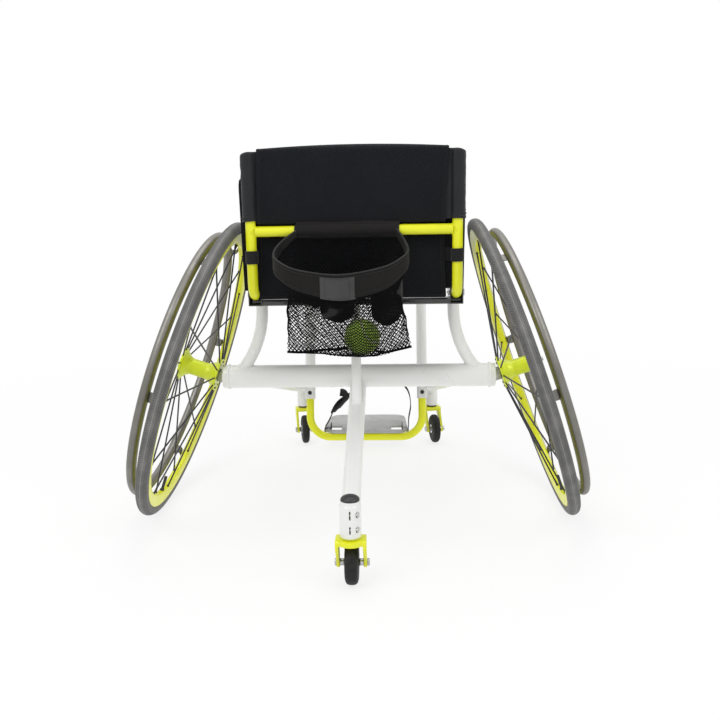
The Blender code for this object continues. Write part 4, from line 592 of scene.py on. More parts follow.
CAMBER_TUBE_Z = WHEEL_Z - 0.0527 * math.tan(CAMBER)
CAMBER_TUBE_R = 0.0230
CAMBER_TUBE = ((0, 0, CAMBER_TUBE_Z), (1, 0, 0), CAMBER_TUBE_R)
white_paint = rigid_look(
    "white_paint", (0.86, 0.86, 0.855), (0.83, 0.83, 0.82), 0.26, 0.36, coat=0.4, peel=0.04, patch_size=0.16
)
alloy = rigid_look("alloy", (0.46, 0.46, 0.46), (0.36, 0.36, 0.36), 0.30, 0.45, metal=1.0, patch_size=0.02)
lie_on_x = Matrix.Translation((0.0, 0.0, CAMBER_TUBE_Z)) @ Matrix.Rotation(math.pi / 2, 4, "Y")
camber_half = mm((20.5, 272), (23, 272), (23, 264.2), (25.2, 263.2), (25.2, 258.8), (23, 257.8))
camber_outline = camber_half + [(r, -x) for r, x in reversed(camber_half)]
put(lathe("camber_tube", camber_outline, 64, 0.0005), "camber_tube_smooth", white_paint, "frame",
    "camber_tube", matrix=lie_on_x)
for side, sign in SIDES:
    plug = [(r, sign * x) for r, x in mm((0, 229.5), (20, 229.5), (20, 270.8), (18.8, 271.7), (0, 271.7))]
    boss = lathe("boss", [
        (0.0066, HUB_IN - 0.0003), (0.0130, HUB_IN - 0.0003), (0.0130, HUB_IN - 0.022),
        (0.0066, HUB_IN - 0.022),
    ], 40)
    boss.transform(wheel_stand(sign))
    body = lathe("plug", plug, 48, 0.0005)
    body.transform(lie_on_x)
    put(join_meshes("plug", [body, boss]), f"camber_plug_{side}_turned", alloy, "frame",
        f"camber_plug_{side}")


# Side frames. Each side is bent from round tube and welded: a seat rail that sweeps down into the
# front upright, a lower rail to the caster housing, and a rear upright onto the camber tube.

FRONT_X = 0.140
FRONT_Y = 0.380
FRONT_Z = 0.128
FRONT_SLOPE = 0.304
RAIL_X = 0.190
RAIL_Z = 0.4428
RAIL_RISE = 0.13
RAIL_R = 0.0127
UPRIGHT_X = 0.189
UPRIGHT_R = 0.0115
UPRIGHT_BEND = 0.19
UPRIGHT_OUT = 0.0358
LOWER_R = 0.0125
LOWER_REAR_X = 0.205
LOWER_REAR_Z = 0.265
CASTER_X = 0.167
CASTER_Y = 0.455
HOUSING_R = 0.015
HOUSING_TALL = 0.058
CASTER_HOUSING_LOW = 0.088 + 0.004 + 0.0006


def bent(points, bends, steps=10):
    """The centre line of a bent tube: straight runs joined by arcs of the given radii."""
    points = [Vector(p) for p in points]
    line = [points[0]]
    for before, corner, after, radius in zip(points, points[1:], points[2:], bends):
        into = (before - corner).normalized()
        out = (after - corner).normalized()
        half = into.angle(out) / 2
        centre = corner + (into + out).normalized() * (radius / math.sin(half))
        first = corner + into * (radius / math.tan(half)) - centre
        last = corner + out * (radius / math.tan(half)) - centre
        sweep = first.angle(last)
        for k in range(steps + 1):
            share = k / steps
            mixed = first * math.sin((1 - share) * sweep) + last * math.sin(share * sweep)
            line.append(centre + mixed / math.sin(sweep))
    line.append(points[-1])
    return line


def rail_height(y):
    return RAIL_Z + RAIL_RISE * y


def front_y(height):
    return FRONT_Y + FRONT_SLOPE * (height - FRONT_Z)


def weld_bead(start, ahead, radius, other, thick=0.0021):
    """The bead where a round tube meets another's side (its point, way and radius), laid in drops."""
    start = Vector(start)
    ahead = Vector(ahead).normalized()
    other_point = Vector(other[0])
    other_way = Vector(other[1]).normalized()
    side = ahead.orthogonal().normalized()
    up = ahead.cross(side)
    line = []
    for k in range(72):
        angle = 2 * math.pi * k / 72
        place = start + (side * math.cos(angle) + up * math.sin(angle)) * radius
        gap = (place - other_point) - other_way * (place - other_point).dot(other_way)
        move = ahead - other_way * ahead.dot(other_way)
        a = move.dot(move)
        b = 2 * gap.dot(move)
        c = gap.dot(gap) - other[2] ** 2
        root = max(b * b - 4 * a * c, 0.0)
        line.append(place + ahead * ((-b - math.sqrt(root)) / (2 * a)))
    rows = []
    for k, place in enumerate(line):
        along = (line[(k + 1) % 72] - line[k - 1]).normalized()
        out = (place - start - ahead * (place - start).dot(ahead)).normalized()
        out = (out - along * out.dot(along)).normalized()
        up = along.cross(out)
        drop = thick * (1.0 + 0.10 * math.cos(math.pi * k))
        rows.append([
            place + (out * math.cos(2 * math.pi * n / 10) + up * math.sin(2 * math.pi * n / 10)) * drop
            for n in range(10)
        ])
    return skin("bead", rows, loop=True, sharp=80.0)


corner_y = (front_y(0.0) + FRONT_SLOPE * RAIL_Z) / (1 - FRONT_SLOPE * RAIL_RISE)
front_along = Vector((0.0, FRONT_SLOPE, 1.0)).normalized()
rearwards = Vector((0.0, -1.0, FRONT_SLOPE)).normalized()
meet_z = 0.157
meet_y = front_y(meet_z)
meet_x = FRONT_X + (RAIL_R + LOWER_R + 0.0005) / 0.994
for side, sign in SIDES:
    front_foot = Vector((sign * FRONT_X, FRONT_Y, FRONT_Z))
    rail_line = bent([
        (sign * RAIL_X, -0.037, rail_height(-0.037)), (sign * RAIL_X, 0.300, rail_height(0.300)),
        (sign * FRONT_X, corner_y, rail_height(corner_y)), front_foot,
    ], [0.20, 0.085], 12)
    rail = skin("rail", pipe_rows(rail_line[:-1] + [front_foot], RAIL_R), caps=False)
    mouth = [front_foot + front_along * rise for rise in (0.0, -0.0002, -0.0002, 0.016)]
    lip = skin("rail_mouth", pipe_rows(mouth, [RAIL_R, 0.0124, 0.0099, 0.0098]), caps=False)
    back = (rail_line[0] - rail_line[1]).normalized()
    plug_line = [rail_line[0] + back * out for out in (0.0, 0.0004, 0.0008)]
    plug = skin("rail_end", pipe_rows(plug_line, [RAIL_R, 0.0122, 0.0105]))
    put(join_meshes("rail", [rail, lip, plug]), f"seat_rail_{side}_bent", white_paint, "frame",
        f"seat_rail_{side}")

    sweep = math.acos(1 - UPRIGHT_OUT / UPRIGHT_BEND)
    upright_line = [Vector((sign * UPRIGHT_X, 0.0, RAIL_Z))]
    for i in range(11):
        angle = sweep * i / 10
        out = UPRIGHT_X + UPRIGHT_BEND * (1 - math.cos(angle))
        upright_line.append(Vector((sign * out, 0.0, 0.409 - UPRIGHT_BEND * math.sin(angle))))
    upright_down = Vector((sign * math.sin(sweep), 0.0, -math.cos(sweep)))
    to_tube = (upright_line[-1].z - CAMBER_TUBE_Z) / math.cos(sweep)
    upright_line.append(upright_line[-1] + upright_down * to_tube)
    upright = skin("upright", pipe_rows(upright_line, UPRIGHT_R))
    bead = weld_bead(upright_line[-2], upright_down, UPRIGHT_R, CAMBER_TUBE)
    rail_tube = ((sign * RAIL_X, 0.0, RAIL_Z), (0, 1, RAIL_RISE), RAIL_R)
    top_bead = weld_bead(upright_line[2], (0, 0, 1), UPRIGHT_R, rail_tube, 0.0018)
    put(join_meshes("upright", [upright, bead, top_bead]), f"rear_upright_{side}_bent", white_paint, "frame",
        f"rear_upright_{side}")

    lower_rear = Vector((sign * LOWER_REAR_X, 0.0, LOWER_REAR_Z))
    lower_bend = Vector((sign * meet_x, meet_y, meet_z))
    lower_front = Vector((sign * CASTER_X, CASTER_Y, CASTER_HOUSING_LOW + HOUSING_TALL * 0.72))
    first_run = (lower_bend - lower_rear).normalized()
    last_run = (lower_front - lower_bend).normalized()
    smooth_bend = [
        lower_bend * 2 * t * (1 - t) + (lower_bend - first_run * 0.012) * (1 - t) ** 2
        + lower_bend.lerp(lower_front, 0.18) * t * t
        for t in (0.0, 0.25, 0.5, 0.75, 1.0)
    ]
    lower = skin("lower", pipe_rows([lower_rear] + smooth_bend + [lower_front], LOWER_R))
    lower_bead = weld_bead(lower_bend, -first_run, LOWER_R, CAMBER_TUBE)
    caster_tube = ((sign * CASTER_X, CASTER_Y, 0.0), (0, 0, 1), HOUSING_R)
    housing_bead = weld_bead(lower_front - last_run * 0.035, last_run, LOWER_R, caster_tube, 0.0017)
    put(join_meshes("lower", [lower, lower_bead, housing_bead]), f"lower_rail_{side}_bent", white_paint,
        "frame", f"lower_rail_{side}")


# Front casters. A white housing is welded to each lower rail, and a yellow machined fork turns in
# it on a stem, under a dark seal, with a small black roller wheel on a through bolt.

caster_rubber = rigid_look(
    "caster_rubber", (0.009, 0.009, 0.010), (0.024, 0.023, 0.022), 0.55, 0.72, peel=0.25, patch_size=0.012,
    specular=0.25,
)
dark_seal = rigid_look("dark_seal", (0.010, 0.010, 0.010), (0.022, 0.022, 0.022), 0.50, 0.65)


def edged_copy(node, name, look, body, edge):
    """A CAD solid's shape with its corners broken, as a machined and coated part has them."""
    shape = bmesh.new()
    shape.from_mesh(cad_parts[node].data)
    bmesh.ops.remove_doubles(shape, verts=shape.verts, dist=1e-6)
    bmesh.ops.dissolve_limit(
        shape, angle_limit=math.radians(1.0), verts=shape.verts[:], edges=shape.edges[:]
    )
    mesh = bpy.data.meshes.new(name)
    shape.to_mesh(mesh)
    shape.free()
    piece = bpy.data.objects.new(name, mesh)
    scene.collection.objects.link(piece)
    bevel = piece.modifiers.new("broken_edges", "BEVEL")
    bevel.width = edge
    bevel.segments = 2
    bevel.limit_method = "ANGLE"
    bevel.angle_limit = math.radians(35.0)
    bevel.use_clamp_overlap = True
    made = evaluated(piece)
    bpy.data.objects.remove(piece)
    bpy.data.meshes.remove(mesh)
    made.shade_smooth()
    made.set_sharp_from_angle(angle=math.radians(40.0))
    made.transform(Matrix.Translation(-axle_shift))
    return put(made, name, look, body, node)


def roller(name, radius, half, core):
    """A caster wheel: a rubber tyre with rounded shoulders on a moulded core with a bearing."""
    outer_half = [
        (0.0044, half), (core, half), (core + 0.0006, half - 0.0010), (core + 0.0020, half - 0.0010),
        (core + 0.0026, half), (radius - 0.0085, half), (radius - 0.0035, half * 0.86),
        (radius - 0.0010, half * 0.60), (radius, half * 0.25),
    ]
    return lathe(name, outer_half + [(r, -z) for r, z in reversed(outer_half)], 72, 0.0007)


CASTER_WHEEL_R = 0.036
CASTER_TRAIL = 0.030
low = CASTER_HOUSING_LOW
HOUSING_SECTION = [
    (0.0, low + HOUSING_TALL), (0.0118, low + HOUSING_TALL), (0.0138, low + 0.0572),
    (HOUSING_R, low + 0.0552), (HOUSING_R, low + 0.0080), (0.0146, low + 0.0072), (HOUSING_R, low + 0.0064),
    (HOUSING_R, low), (0.0064, low), (0.0064, low + 0.040), (0.0, low + 0.040),
]
SEAL_SECTION = mm((11.8, 88.4), (12.9, 88.4), (12.9, 92.1), (11.8, 92.1))
RACE_SECTION = mm(
    (4.6, 9.6), (6.2, 9.6), (6.6, 9.3), (9.8, 9.3), (10.4, 9.6), (11.4, 9.6), (11.4, 8.0), (4.6, 8.0)
)
CASTER_BOLT = mm(
    (0, 22.2), (3.2, 22.2), (3.2, 25), (6, 25), (6.8, 24), (6.8, 20.8), (6, 20.8), (6, 15), (6, 9.8),
    (3.9, 9.8), (3.9, -9.8), (6, -9.8), (6, -20.8), (6.8, -20.8), (6.8, -24), (6, -25), (0, -25),
)
for side, sign in SIDES:
    swivel_body = f"caster_swivel_{side}"
    wheel = f"caster_wheel_{side}"
    upright_stand = Matrix.Translation((sign * CASTER_X, CASTER_Y, 0.0))
    swivel = upright_stand @ Matrix.Rotation(math.radians(12.0), 4, "Z")
    put(lathe("housing", HOUSING_SECTION, 48, 0.0004), f"caster_housing_{side}_turned", white_paint, "frame",
        f"caster_housing_{side}", matrix=upright_stand)
    edged_copy(f"caster_fork_{side}", f"caster_fork_{side}_machined", yellow_paint, swivel_body, 0.0012)
    seal = lathe("seal", SEAL_SECTION, 40, 0.0003)
    put(seal, f"caster_seal_{side}", dark_seal, swivel_body, slot="black_plastic", matrix=swivel)
    on_axle = (
        swivel @ Matrix.Translation((0.0, -CASTER_TRAIL, CASTER_WHEEL_R))
        @ Matrix.Rotation(math.pi / 2, 4, "Y")
    )
    put(roller("roller", CASTER_WHEEL_R, 0.009, 0.012), f"caster_wheel_{side}_roller", caster_rubber, wheel,
        f"caster_wheel_{side}", matrix=on_axle)
    races = [lathe("race", [(r, s * z) for r, z in RACE_SECTION], 32, 0.0002) for s in (-1.0, 1.0)]
    put(join_meshes("races", races), f"caster_bearings_{side}", steel, wheel, matrix=on_axle)
    put(lathe("bolt", CASTER_BOLT, 24, 0.0002), f"caster_axle_{side}_bolt", steel, swivel_body,
        f"caster_axle_{side}", matrix=on_axle)


# Anti-tip caster. A white arm slopes back from the camber tube, stayed by a short brace, to a slit
# housing with two pinch bolts and a domed cap; a yellow fork below it holds the fifth wheel.

FIFTH_Y = -0.368
FIFTH_LOW = 0.087 + 0.004 + 0.0006
FIFTH_TOP = FIFTH_LOW + 0.060
FIFTH_HOUSING = ((0, FIFTH_Y, 0), (0, 0, 1), 0.0175)
ARM_R = 0.015875
BRACE_R = 0.00925
BAR_Y = -0.059
BAR_Z = 0.430
arm_start = Vector((0.0, 0.0, 0.262))
arm_end = Vector((0.0, FIFTH_Y, 0.127))
arm_ahead = (arm_end - arm_start).normalized()
arm = skin("arm", pipe_rows([arm_start, arm_end], ARM_R, 36))
arm_beads = [
    weld_bead(arm_start.lerp(arm_end, 0.4), -arm_ahead, ARM_R, CAMBER_TUBE),
    weld_bead(arm_start.lerp(arm_end, 0.7), arm_ahead, ARM_R, FIFTH_HOUSING, 0.0018),
]
put(join_meshes("arm", [arm] + arm_beads), "fifth_arm_welded", white_paint, "frame", "fifth_arm")
brace_foot = arm_start.lerp(arm_end, 0.097 / 0.368)
brace_head = Vector((0.0, BAR_Y, BAR_Z))
brace_ahead = (brace_head - brace_foot).normalized()
brace = skin("brace", pipe_rows([brace_foot, brace_head - brace_ahead * 0.0068], BRACE_R))
brace_bead = weld_bead(brace_head, -brace_ahead, BRACE_R, (arm_start, arm_ahead, ARM_R), 0.0017)
put(join_meshes("brace", [brace, brace_bead]), "arm_brace_welded", white_paint, "frame", "arm_brace")
edged_copy("fifth_housing", "fifth_housing_slit", white_paint, "frame", 0.0005)
CAP_R = 0.0155
cap_seat = FIFTH_TOP + 0.0003
dome_foot = cap_seat + 0.0010
dome = [(CAP_R * math.cos(a), dome_foot + 0.0075 * math.sin(a)) for a in np.linspace(0.0, math.pi / 2, 9)]
cap = lathe("cap", [(0.0058, cap_seat), (CAP_R, cap_seat)] + dome[:-1] + [
    (0.0, cap_seat + 0.0085), (0.0, FIFTH_TOP - 0.005), (0.0058, FIFTH_TOP - 0.005),
], 48, 0.0)
put(cap, "fifth_cap_domed", black_plastic, "frame", "fifth_cap",
    matrix=Matrix.Translation((0.0, FIFTH_Y, 0.0)))
for name in ("low", "top"):
    low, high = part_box(f"pinch_bolt_{name}")
    middle = (Vector(low) + Vector(high)) / 2 - axle_shift
    end = high[0]
    screw = lathe("screw", [
        (0.0, end - 0.0022), (0.0021, end - 0.0022), (0.0021, end), (0.0035, end), (0.0041, end - 0.0007),
        (0.0041, end - 0.0036), (0.0022, end - 0.0036), (0.0022, low[0]), (0.0, low[0]),
    ], 24, 0.0002)
    put(screw, f"pinch_bolt_{name}_screw", steel, "frame", f"pinch_bolt_{name}",
        matrix=Matrix.Translation((0.0, middle.y, middle.z)) @ Matrix.Rotation(math.pi / 2, 4, "Y"))
edged_copy("fifth_fork", "fifth_fork_machined", yellow_paint, "fifth_swivel", 0.0012)
FIFTH_WHEEL_R = 0.037
FIFTH_TRAIL = 0.018
on_fifth_axle = (
    Matrix.Translation((0.0, FIFTH_Y + FIFTH_TRAIL, FIFTH_WHEEL_R)) @ Matrix.Rotation(math.pi / 2, 4, "Y")
)
put(roller("roller", FIFTH_WHEEL_R, 0.0112, 0.013), "fifth_wheel_roller", caster_rubber, "fifth_wheel",
    "fifth_wheel", matrix=on_fifth_axle)
FIFTH_BOLT = mm(
    (0, 26.9), (2.2, 26.9), (2.4, 29.4), (5, 29.4), (6.2, 28.6), (6.2, 25.2), (3.9, 25.2), (3.9, 19.5),
    (6, 19.5), (6, 11.6), (3.9, 11.6), (3.9, -11.6), (6, -11.6), (6, -19.5), (3.9, -19.5), (3.9, -25.2),
    (6.2, -25.2), (6.2, -27.6), (5, -28.4), (0, -28.4),
)
put(lathe("bolt", FIFTH_BOLT, 32, 0.0002), "fifth_axle_bolt", steel, "fifth_swivel", "fifth_axle",
    matrix=on_fifth_axle)


# Hinge bar. A black coated bar between the rails ends in a channel at each side, in which the
# back's post turns on a shouldered pin.

PIVOT_Y = -0.054
PIVOT_Z = 0.4445
PIVOT_SECTION = mm(
    (0, 13.2), (2.2, 13.2), (2.2, 15.8), (5.6, 15.8), (6.5, 14.9), (6.5, 13.1), (3.9, 13.1), (3.9, -13.1),
    (5.5, -13.1), (5.5, -14.4), (4.8, -15), (0, -15),
)
black_paint = rigid_look(
    "black_paint", (0.012, 0.012, 0.013), (0.024, 0.024, 0.025), 0.16, 0.32, coat=0.6, peel=0.04
)
edged_copy("hinge_bar", "hinge_bar_coated", black_paint, "frame", 0.0007)
for side, sign in SIDES:
    on_pivot = (
        Matrix.Translation((sign * RAIL_X, PIVOT_Y, PIVOT_Z)) @ Matrix.Rotation(sign * math.pi / 2, 4, "Y")
    )
    put(lathe("pin", PIVOT_SECTION, 28, 0.0002), f"back_pivot_{side}_pin", steel, "frame",
        f"back_pivot_{side}", matrix=on_pivot)


# Back frame. Two yellow posts stand up from the hinge and are joined by a crossbar, all sprayed
# the same bright yellow, with the tops of the posts inside the panel.

POST_R = 0.0097
POST_Y = -0.085
POST_TOP = 0.7035
CROSSBAR_Z = 0.5646
for side, sign in SIDES:
    post_x = sign * RAIL_X
    post_line = [Vector((post_x, POST_Y, POST_TOP)), Vector((post_x, POST_Y, POST_TOP - 0.0006))] + bent([
        (post_x, POST_Y, POST_TOP - 0.0020), (post_x, POST_Y, PIVOT_Z), (post_x, -0.0462, PIVOT_Z),
    ], [0.025], 10)
    radii = [0.0078, 0.0092] + [POST_R] * (len(post_line) - 2)
    put(skin("post", pipe_rows(post_line, radii)), f"back_post_{side}_bent", yellow_paint, "backrest",
        f"back_post_{side}")
cross_end = RAIL_X - 0.0085
crossbar = skin("crossbar", pipe_rows([(x, POST_Y, CROSSBAR_Z) for x in (-cross_end, cross_end)], POST_R))
cross_beads = [
    weld_bead((0.0, POST_Y, CROSSBAR_Z), (s, 0, 0), POST_R - 0.0003,
              ((s * RAIL_X, POST_Y, 0.0), (0, 0, 1), POST_R), 0.0014)
    for s in (-1.0, 1.0)
]
put(join_meshes("crossbar", [crossbar] + cross_beads), "back_crossbar_welded", yellow_paint, "backrest",
    "back_crossbar")


# Back panel. A black vinyl sleeve is stretched between the posts and closed over their tops, with
# a hemmed lower edge that wrinkles where it leaves the posts.

def smooth_line(knots, steps):
    """A smooth line through the given points (Catmull-Rom)."""
    knots = [Vector(k) for k in knots]
    padded = [2 * knots[0] - knots[1]] + knots + [2 * knots[-1] - knots[-2]]
    line = []
    for a, b, c, d in zip(padded, padded[1:], padded[2:], padded[3:]):
        for i in range(steps):
            t = i / steps
            line.append(
                0.5 * (2 * b + (c - a) * t + (2 * a - 5 * b + 4 * c - d) * t * t
                       + (3 * b - a - 3 * c + d) * t * t * t)
            )
    line.append(knots[-1])
    return line


# Woven threads: each cell of a plain weave shows one thread, rounded across its width.
weave, held, shown = new_group("weave", ("Place", "Thread"), ("Over", "Height"))
over_place = parted(weave, held["Place"])
warp = reckon(weave, "DIVIDE", over_place["X"], held["Thread"])
weft = reckon(weave, "DIVIDE", over_place["Y"], held["Thread"])
cell = plus(weave, reckon(weave, "FLOOR", warp), reckon(weave, "FLOOR", weft))
over = reckon(weave, "ABSOLUTE", reckon(weave, "MODULO", cell, 2.0))
warp_round, weft_round = (
    reckon(weave, "ABSOLUTE", reckon(weave, "SINE", times(weave, across, math.pi))) for across in (warp, weft)
)
under = reckon(weave, "SUBTRACT", 1.0, over)
weave.links.new(over, shown["Over"])
weave.links.new(plus(weave, times(weave, warp_round, over), times(weave, weft_round, under)), shown["Height"])


def cloth_look(name, shaded_thread, lit_thread, thread, rough, sheen=0.25, depth=0.5):
    """Woven cloth or tape, read from the piece's own UV map in metres."""
    look, tree, shader = new_look(name)
    threads = use_effect(tree, weave, {"Place": own_metres(tree), "Thread": thread})
    dust = wear(tree, 0.05, thread * 0.5)
    # Each thread is painted lighter along its rounded crown and darker at its sides and where it passes under
    # the other thread: painted light and shade on the weave.
    painted_thread_shading = times(tree, threads["Height"], spread(tree, threads["Over"], 0.0, 1.0, 0.75, 1.0))
    tone = blend_colours(tree, painted_thread_shading, shaded_thread, lit_thread)
    dusty = tuple(min(1.0, c * 1.5 + 0.004) for c in lit_thread)
    tone = blend_colours(tree, times(tree, dust["Patches"], 0.4), tone, dusty)
    height = plus(tree, threads["Height"], times(tree, dust["Grain"], 0.3))
    worn_rough = spread(tree, dust["Patches"], 0.0, 1.0, rough - 0.06, rough)
    dress(tree, shader, tone, worn_rough, height, depth, thread * 0.5, {
        "Sheen Weight": sheen, "Sheen Roughness": 0.45, "Specular IOR Level": 0.25,
    })
    return look


webbing = cloth_look("webbing", (0.0035, 0.0035, 0.0042), (0.013, 0.013, 0.015), 0.0011, 0.85, 0.10)
thread_black = rigid_look("sewing_thread", (0.012, 0.012, 0.013), (0.022, 0.022, 0.022), 0.60, 0.75, peel=0.1)

# Leather grain: small raised cells between fine creases, over slow puckers; the creases are painted darker
# than the cells, as painted shade.
vinyl, tree, shader = new_look("vinyl")
vinyl_place = add_node(tree, "ShaderNodeTexCoord").outputs["Object"]
cells = add_node(tree, "ShaderNodeTexVoronoi", {
    "Vector": vinyl_place, "Scale": 900.0,
}, feature="DISTANCE_TO_EDGE")
creases = spread(tree, cells.outputs["Distance"], 0.0, 0.10)
vinyl_marks = wear(tree, 0.06, 0.012)
vinyl_tone = blend_colours(tree, creases, (0.005, 0.0055, 0.0065), (0.011, 0.012, 0.014))
vinyl_tone = blend_colours(tree, times(tree, vinyl_marks["Patches"], 0.5), vinyl_tone, (0.020, 0.021, 0.023))
vinyl_height = plus(tree, times(tree, creases, 0.5), vinyl_marks["Grain"])
vinyl_rough = spread(tree, vinyl_marks["Patches"], 0.0, 1.0, 0.34, 0.48)
dress(tree, shader, vinyl_tone, vinyl_rough, vinyl_height, 0.35, 0.0006, {"Specular IOR Level": 0.24})

# The stitch repeat: short drops of thread laid end to end along a line.
stitching, given, result = new_repeat(
    "stitches_along", "Lines", "Pitch", "Stitch Length", "Thread Radius", "Finish"
)
as_curve = add_node(stitching, "GeometryNodeMeshToCurve", {0: given["Lines"]})
even = add_node(stitching, "GeometryNodeResampleCurve", {
    "Curve": as_curve.outputs[0], "Length": given["Pitch"],
}, mode="LENGTH")
drop = add_node(stitching, "GeometryNodeMeshCylinder", {
    "Vertices": 6, "Radius": given["Thread Radius"], "Depth": given["Stitch Length"],
})
tangent = add_node(stitching, "GeometryNodeInputTangent")
lie_along = add_node(stitching, "FunctionNodeAlignRotationToVector", {"Vector": tangent.outputs[0]}, axis="Z")
laid = add_node(stitching, "GeometryNodeInstanceOnPoints", {
    "Points": even.outputs[0], "Instance": drop.outputs[0], "Rotation": lie_along.outputs[0],
})
end_repeat(stitching, laid, given["Finish"], result)


def sewn(name, lines, slot, pitch=0.0036, length=0.0026, thick=0.00032):
    """Rows of stitches along the given lines on the back, as one piece."""
    points = []
    edges = []
    for line in lines:
        first = len(points)
        points += [tuple(p) for p in line]
        edges += [(first + k, first + k + 1) for k in range(len(line) - 1)]
    mesh = bpy.data.meshes.new(name)
    mesh.from_pydata(points, edges, [])
    made = settled(name, mesh, stitching, {
        "Pitch": pitch, "Stitch Length": length, "Thread Radius": thick, "Finish": thread_black,
    })
    return put(made, name, thread_black, "backrest", slot=slot)


PANEL_BOTTOM = 0.5835
PANEL_TOP = 0.7075
PANEL_HALF = 0.172
HEM_UP = 0.0075
loop_r = (POST_R + 0.0003) / math.cos(math.pi / 16) + 0.0024


def panel_ring(z, shrink, hem):
    """One level of the sleeve, round both posts; shrink draws the loops in at the top."""
    ring = []
    for s in (1.0, -1.0):
        for k in range(45):
            ring.append(Vector((s * (-PANEL_HALF + 2 * PANEL_HALF * k / 44), -s * 0.002, z)))
        for k in range(19):
            angle = math.radians(-168.0 + 336.0 * k / 18) if s > 0 else math.radians(12.0 + 336.0 * k / 18)
            grow = loop_r * shrink
            x = grow * math.cos(angle) * (1.0 + 0.14 * max(0.0, s * math.cos(angle)))
            ring.append(Vector((s * RAIL_X + x, grow * math.sin(angle), z)))
    placed = []
    for p in ring:
        to_rear = Vector((0.0, math.copysign(1, p.y), 0.0))
        out = Vector((p.x / 4, p.y, 0.0)).normalized() if abs(p.x) > PANEL_HALF else to_rear
        ripple = noise.noise(Vector((p.x * 34.0, p.y * 60.0, z * 90.0))) * 0.0007
        tug = hem * noise.noise(Vector((p.x * 70.0, p.y * 90.0, z * 260.0))) * 0.0016
        corner = max(0.0, (abs(p.x) - 0.186) / 0.0175)
        at_top = max(0.0, (z - 0.69) / (PANEL_TOP - 0.69))
        droop = -0.0045 * corner ** 2 * at_top
        sag = hem * 0.0020 * noise.noise(Vector((p.x * 26.0, 0.0, 7.0)))
        over_hem = z - PANEL_BOTTOM
        gather = max(0.0, math.sin(over_hem * 1050.0 + p.x * 55.0 + 1.2 * math.sin(p.y * 90.0)))
        gather *= 0.0019 * max(0.0, 1.0 - abs(over_hem - HEM_UP) / 0.0085) * min(1.0, corner * 3.0)
        lift = Vector((p.x, p.y + POST_Y, p.z + droop + sag))
        placed.append(lift + out * (ripple + max(tug, -0.0004) + gather))
    return placed


HEM_ROWS = 18
panel_rows = []
for k in range(44):
    share = k / HEM_ROWS * 0.145 if k < HEM_ROWS else 0.145 + 0.855 * (k - HEM_ROWS) / 25
    z = PANEL_BOTTOM + (PANEL_TOP - 0.0022 - PANEL_BOTTOM) * share
    panel_rows.append(panel_ring(z, 1.0 + 0.05 * math.exp(-share * 26), max(0.0, 1 - share * 5)))
for under_top, shrink in ((0.0011, 0.95), (0.0003, 0.84), (0.0, 0.62)):
    panel_rows.append(panel_ring(PANEL_TOP - under_top, shrink, 0.0))
panel = put(skin("panel", panel_rows, sharp=70.0), "back_panel_sleeve", vinyl, "backrest", "back_panel")
hem_ring = panel_ring(PANEL_BOTTOM + HEM_UP, 1.012, 1.0)
sewn("panel_hem_stitches", [hem_ring[45:64], hem_ring[109:128]], "vinyl")


# Back strap. A webbing strap goes round both posts below the crossbar and pulls them together,
# in front of the back's cover, with its loops closed by rows of stitches.

POST_FACE = 0.010196
cover_low_y = POST_Y + POST_FACE + 0.0025 + 0.0003 + 0.0014
strap_r = POST_FACE + 0.0012
strap_run_y = cover_low_y + 0.0014 + 0.0013
strap_loop = [(RAIL_X + strap_r * math.cos(a), POST_Y + strap_r * math.sin(a))
              for a in np.radians(np.linspace(95, -205, 26))]
strap_middle = [Vector((-x, y, 0.0)) for x, y in reversed(strap_loop)]
strap_middle += [Vector((x, strap_run_y, 0.0)) for x in np.linspace(-0.168, 0.168, 30)]
strap_middle += [Vector((x, y, 0.0)) for x, y in strap_loop]
STRAP_HALF = 0.0009
STRAP_SECTION = [
    (-STRAP_HALF, 0.5055), (STRAP_HALF, 0.5055), (STRAP_HALF, 0.5175), (STRAP_HALF, 0.5295),
    (-STRAP_HALF, 0.5295), (-STRAP_HALF, 0.5175),
]
strap_rows = []
for i, place in enumerate(strap_middle):
    ahead = heading(strap_middle, i)
    out = Vector((ahead.y, -ahead.x, 0.0))
    lift = 0.0006 * noise.noise(Vector((place.x * 30.0, 3.0, 0.0)))
    strap_rows.append([Vector((place.x, place.y, z + lift)) + out * n for n, z in STRAP_SECTION])
put(skin("strap", strap_rows, sharp=50.0), "back_strap_webbing", webbing, "backrest", "back_strap")


# Back cover. One length of black spacer mesh hangs down in front of the posts, turns over the
# panel's top edge and comes down behind it and in front of the crossbar, with bound edges.

# Knitted spacer cloth: rows of small open cells in a black face; each cell is painted near black inside, as
# painted shade at its bottom.
mesh_cells, held, shown = new_group("mesh_cells", ("Place", "Pitch"), ("Holes", "Height"))
cell_place = parted(mesh_cells, held["Place"])
down = reckon(mesh_cells, "DIVIDE", cell_place["X"], held["Pitch"])
side_on = reckon(mesh_cells, "DIVIDE", cell_place["Y"], held["Pitch"])
first, second = (
    reckon(mesh_cells, "COSINE", times(mesh_cells, reckon(mesh_cells, way, down, side_on), math.pi))
    for way in ("ADD", "SUBTRACT")
)
both = reckon(mesh_cells, "ABSOLUTE", times(mesh_cells, first, second))
mesh_cells.links.new(spread(mesh_cells, both, 0.32, 0.62), shown["Holes"])
mesh_cells.links.new(reckon(mesh_cells, "SUBTRACT", 1.0, both), shown["Height"])


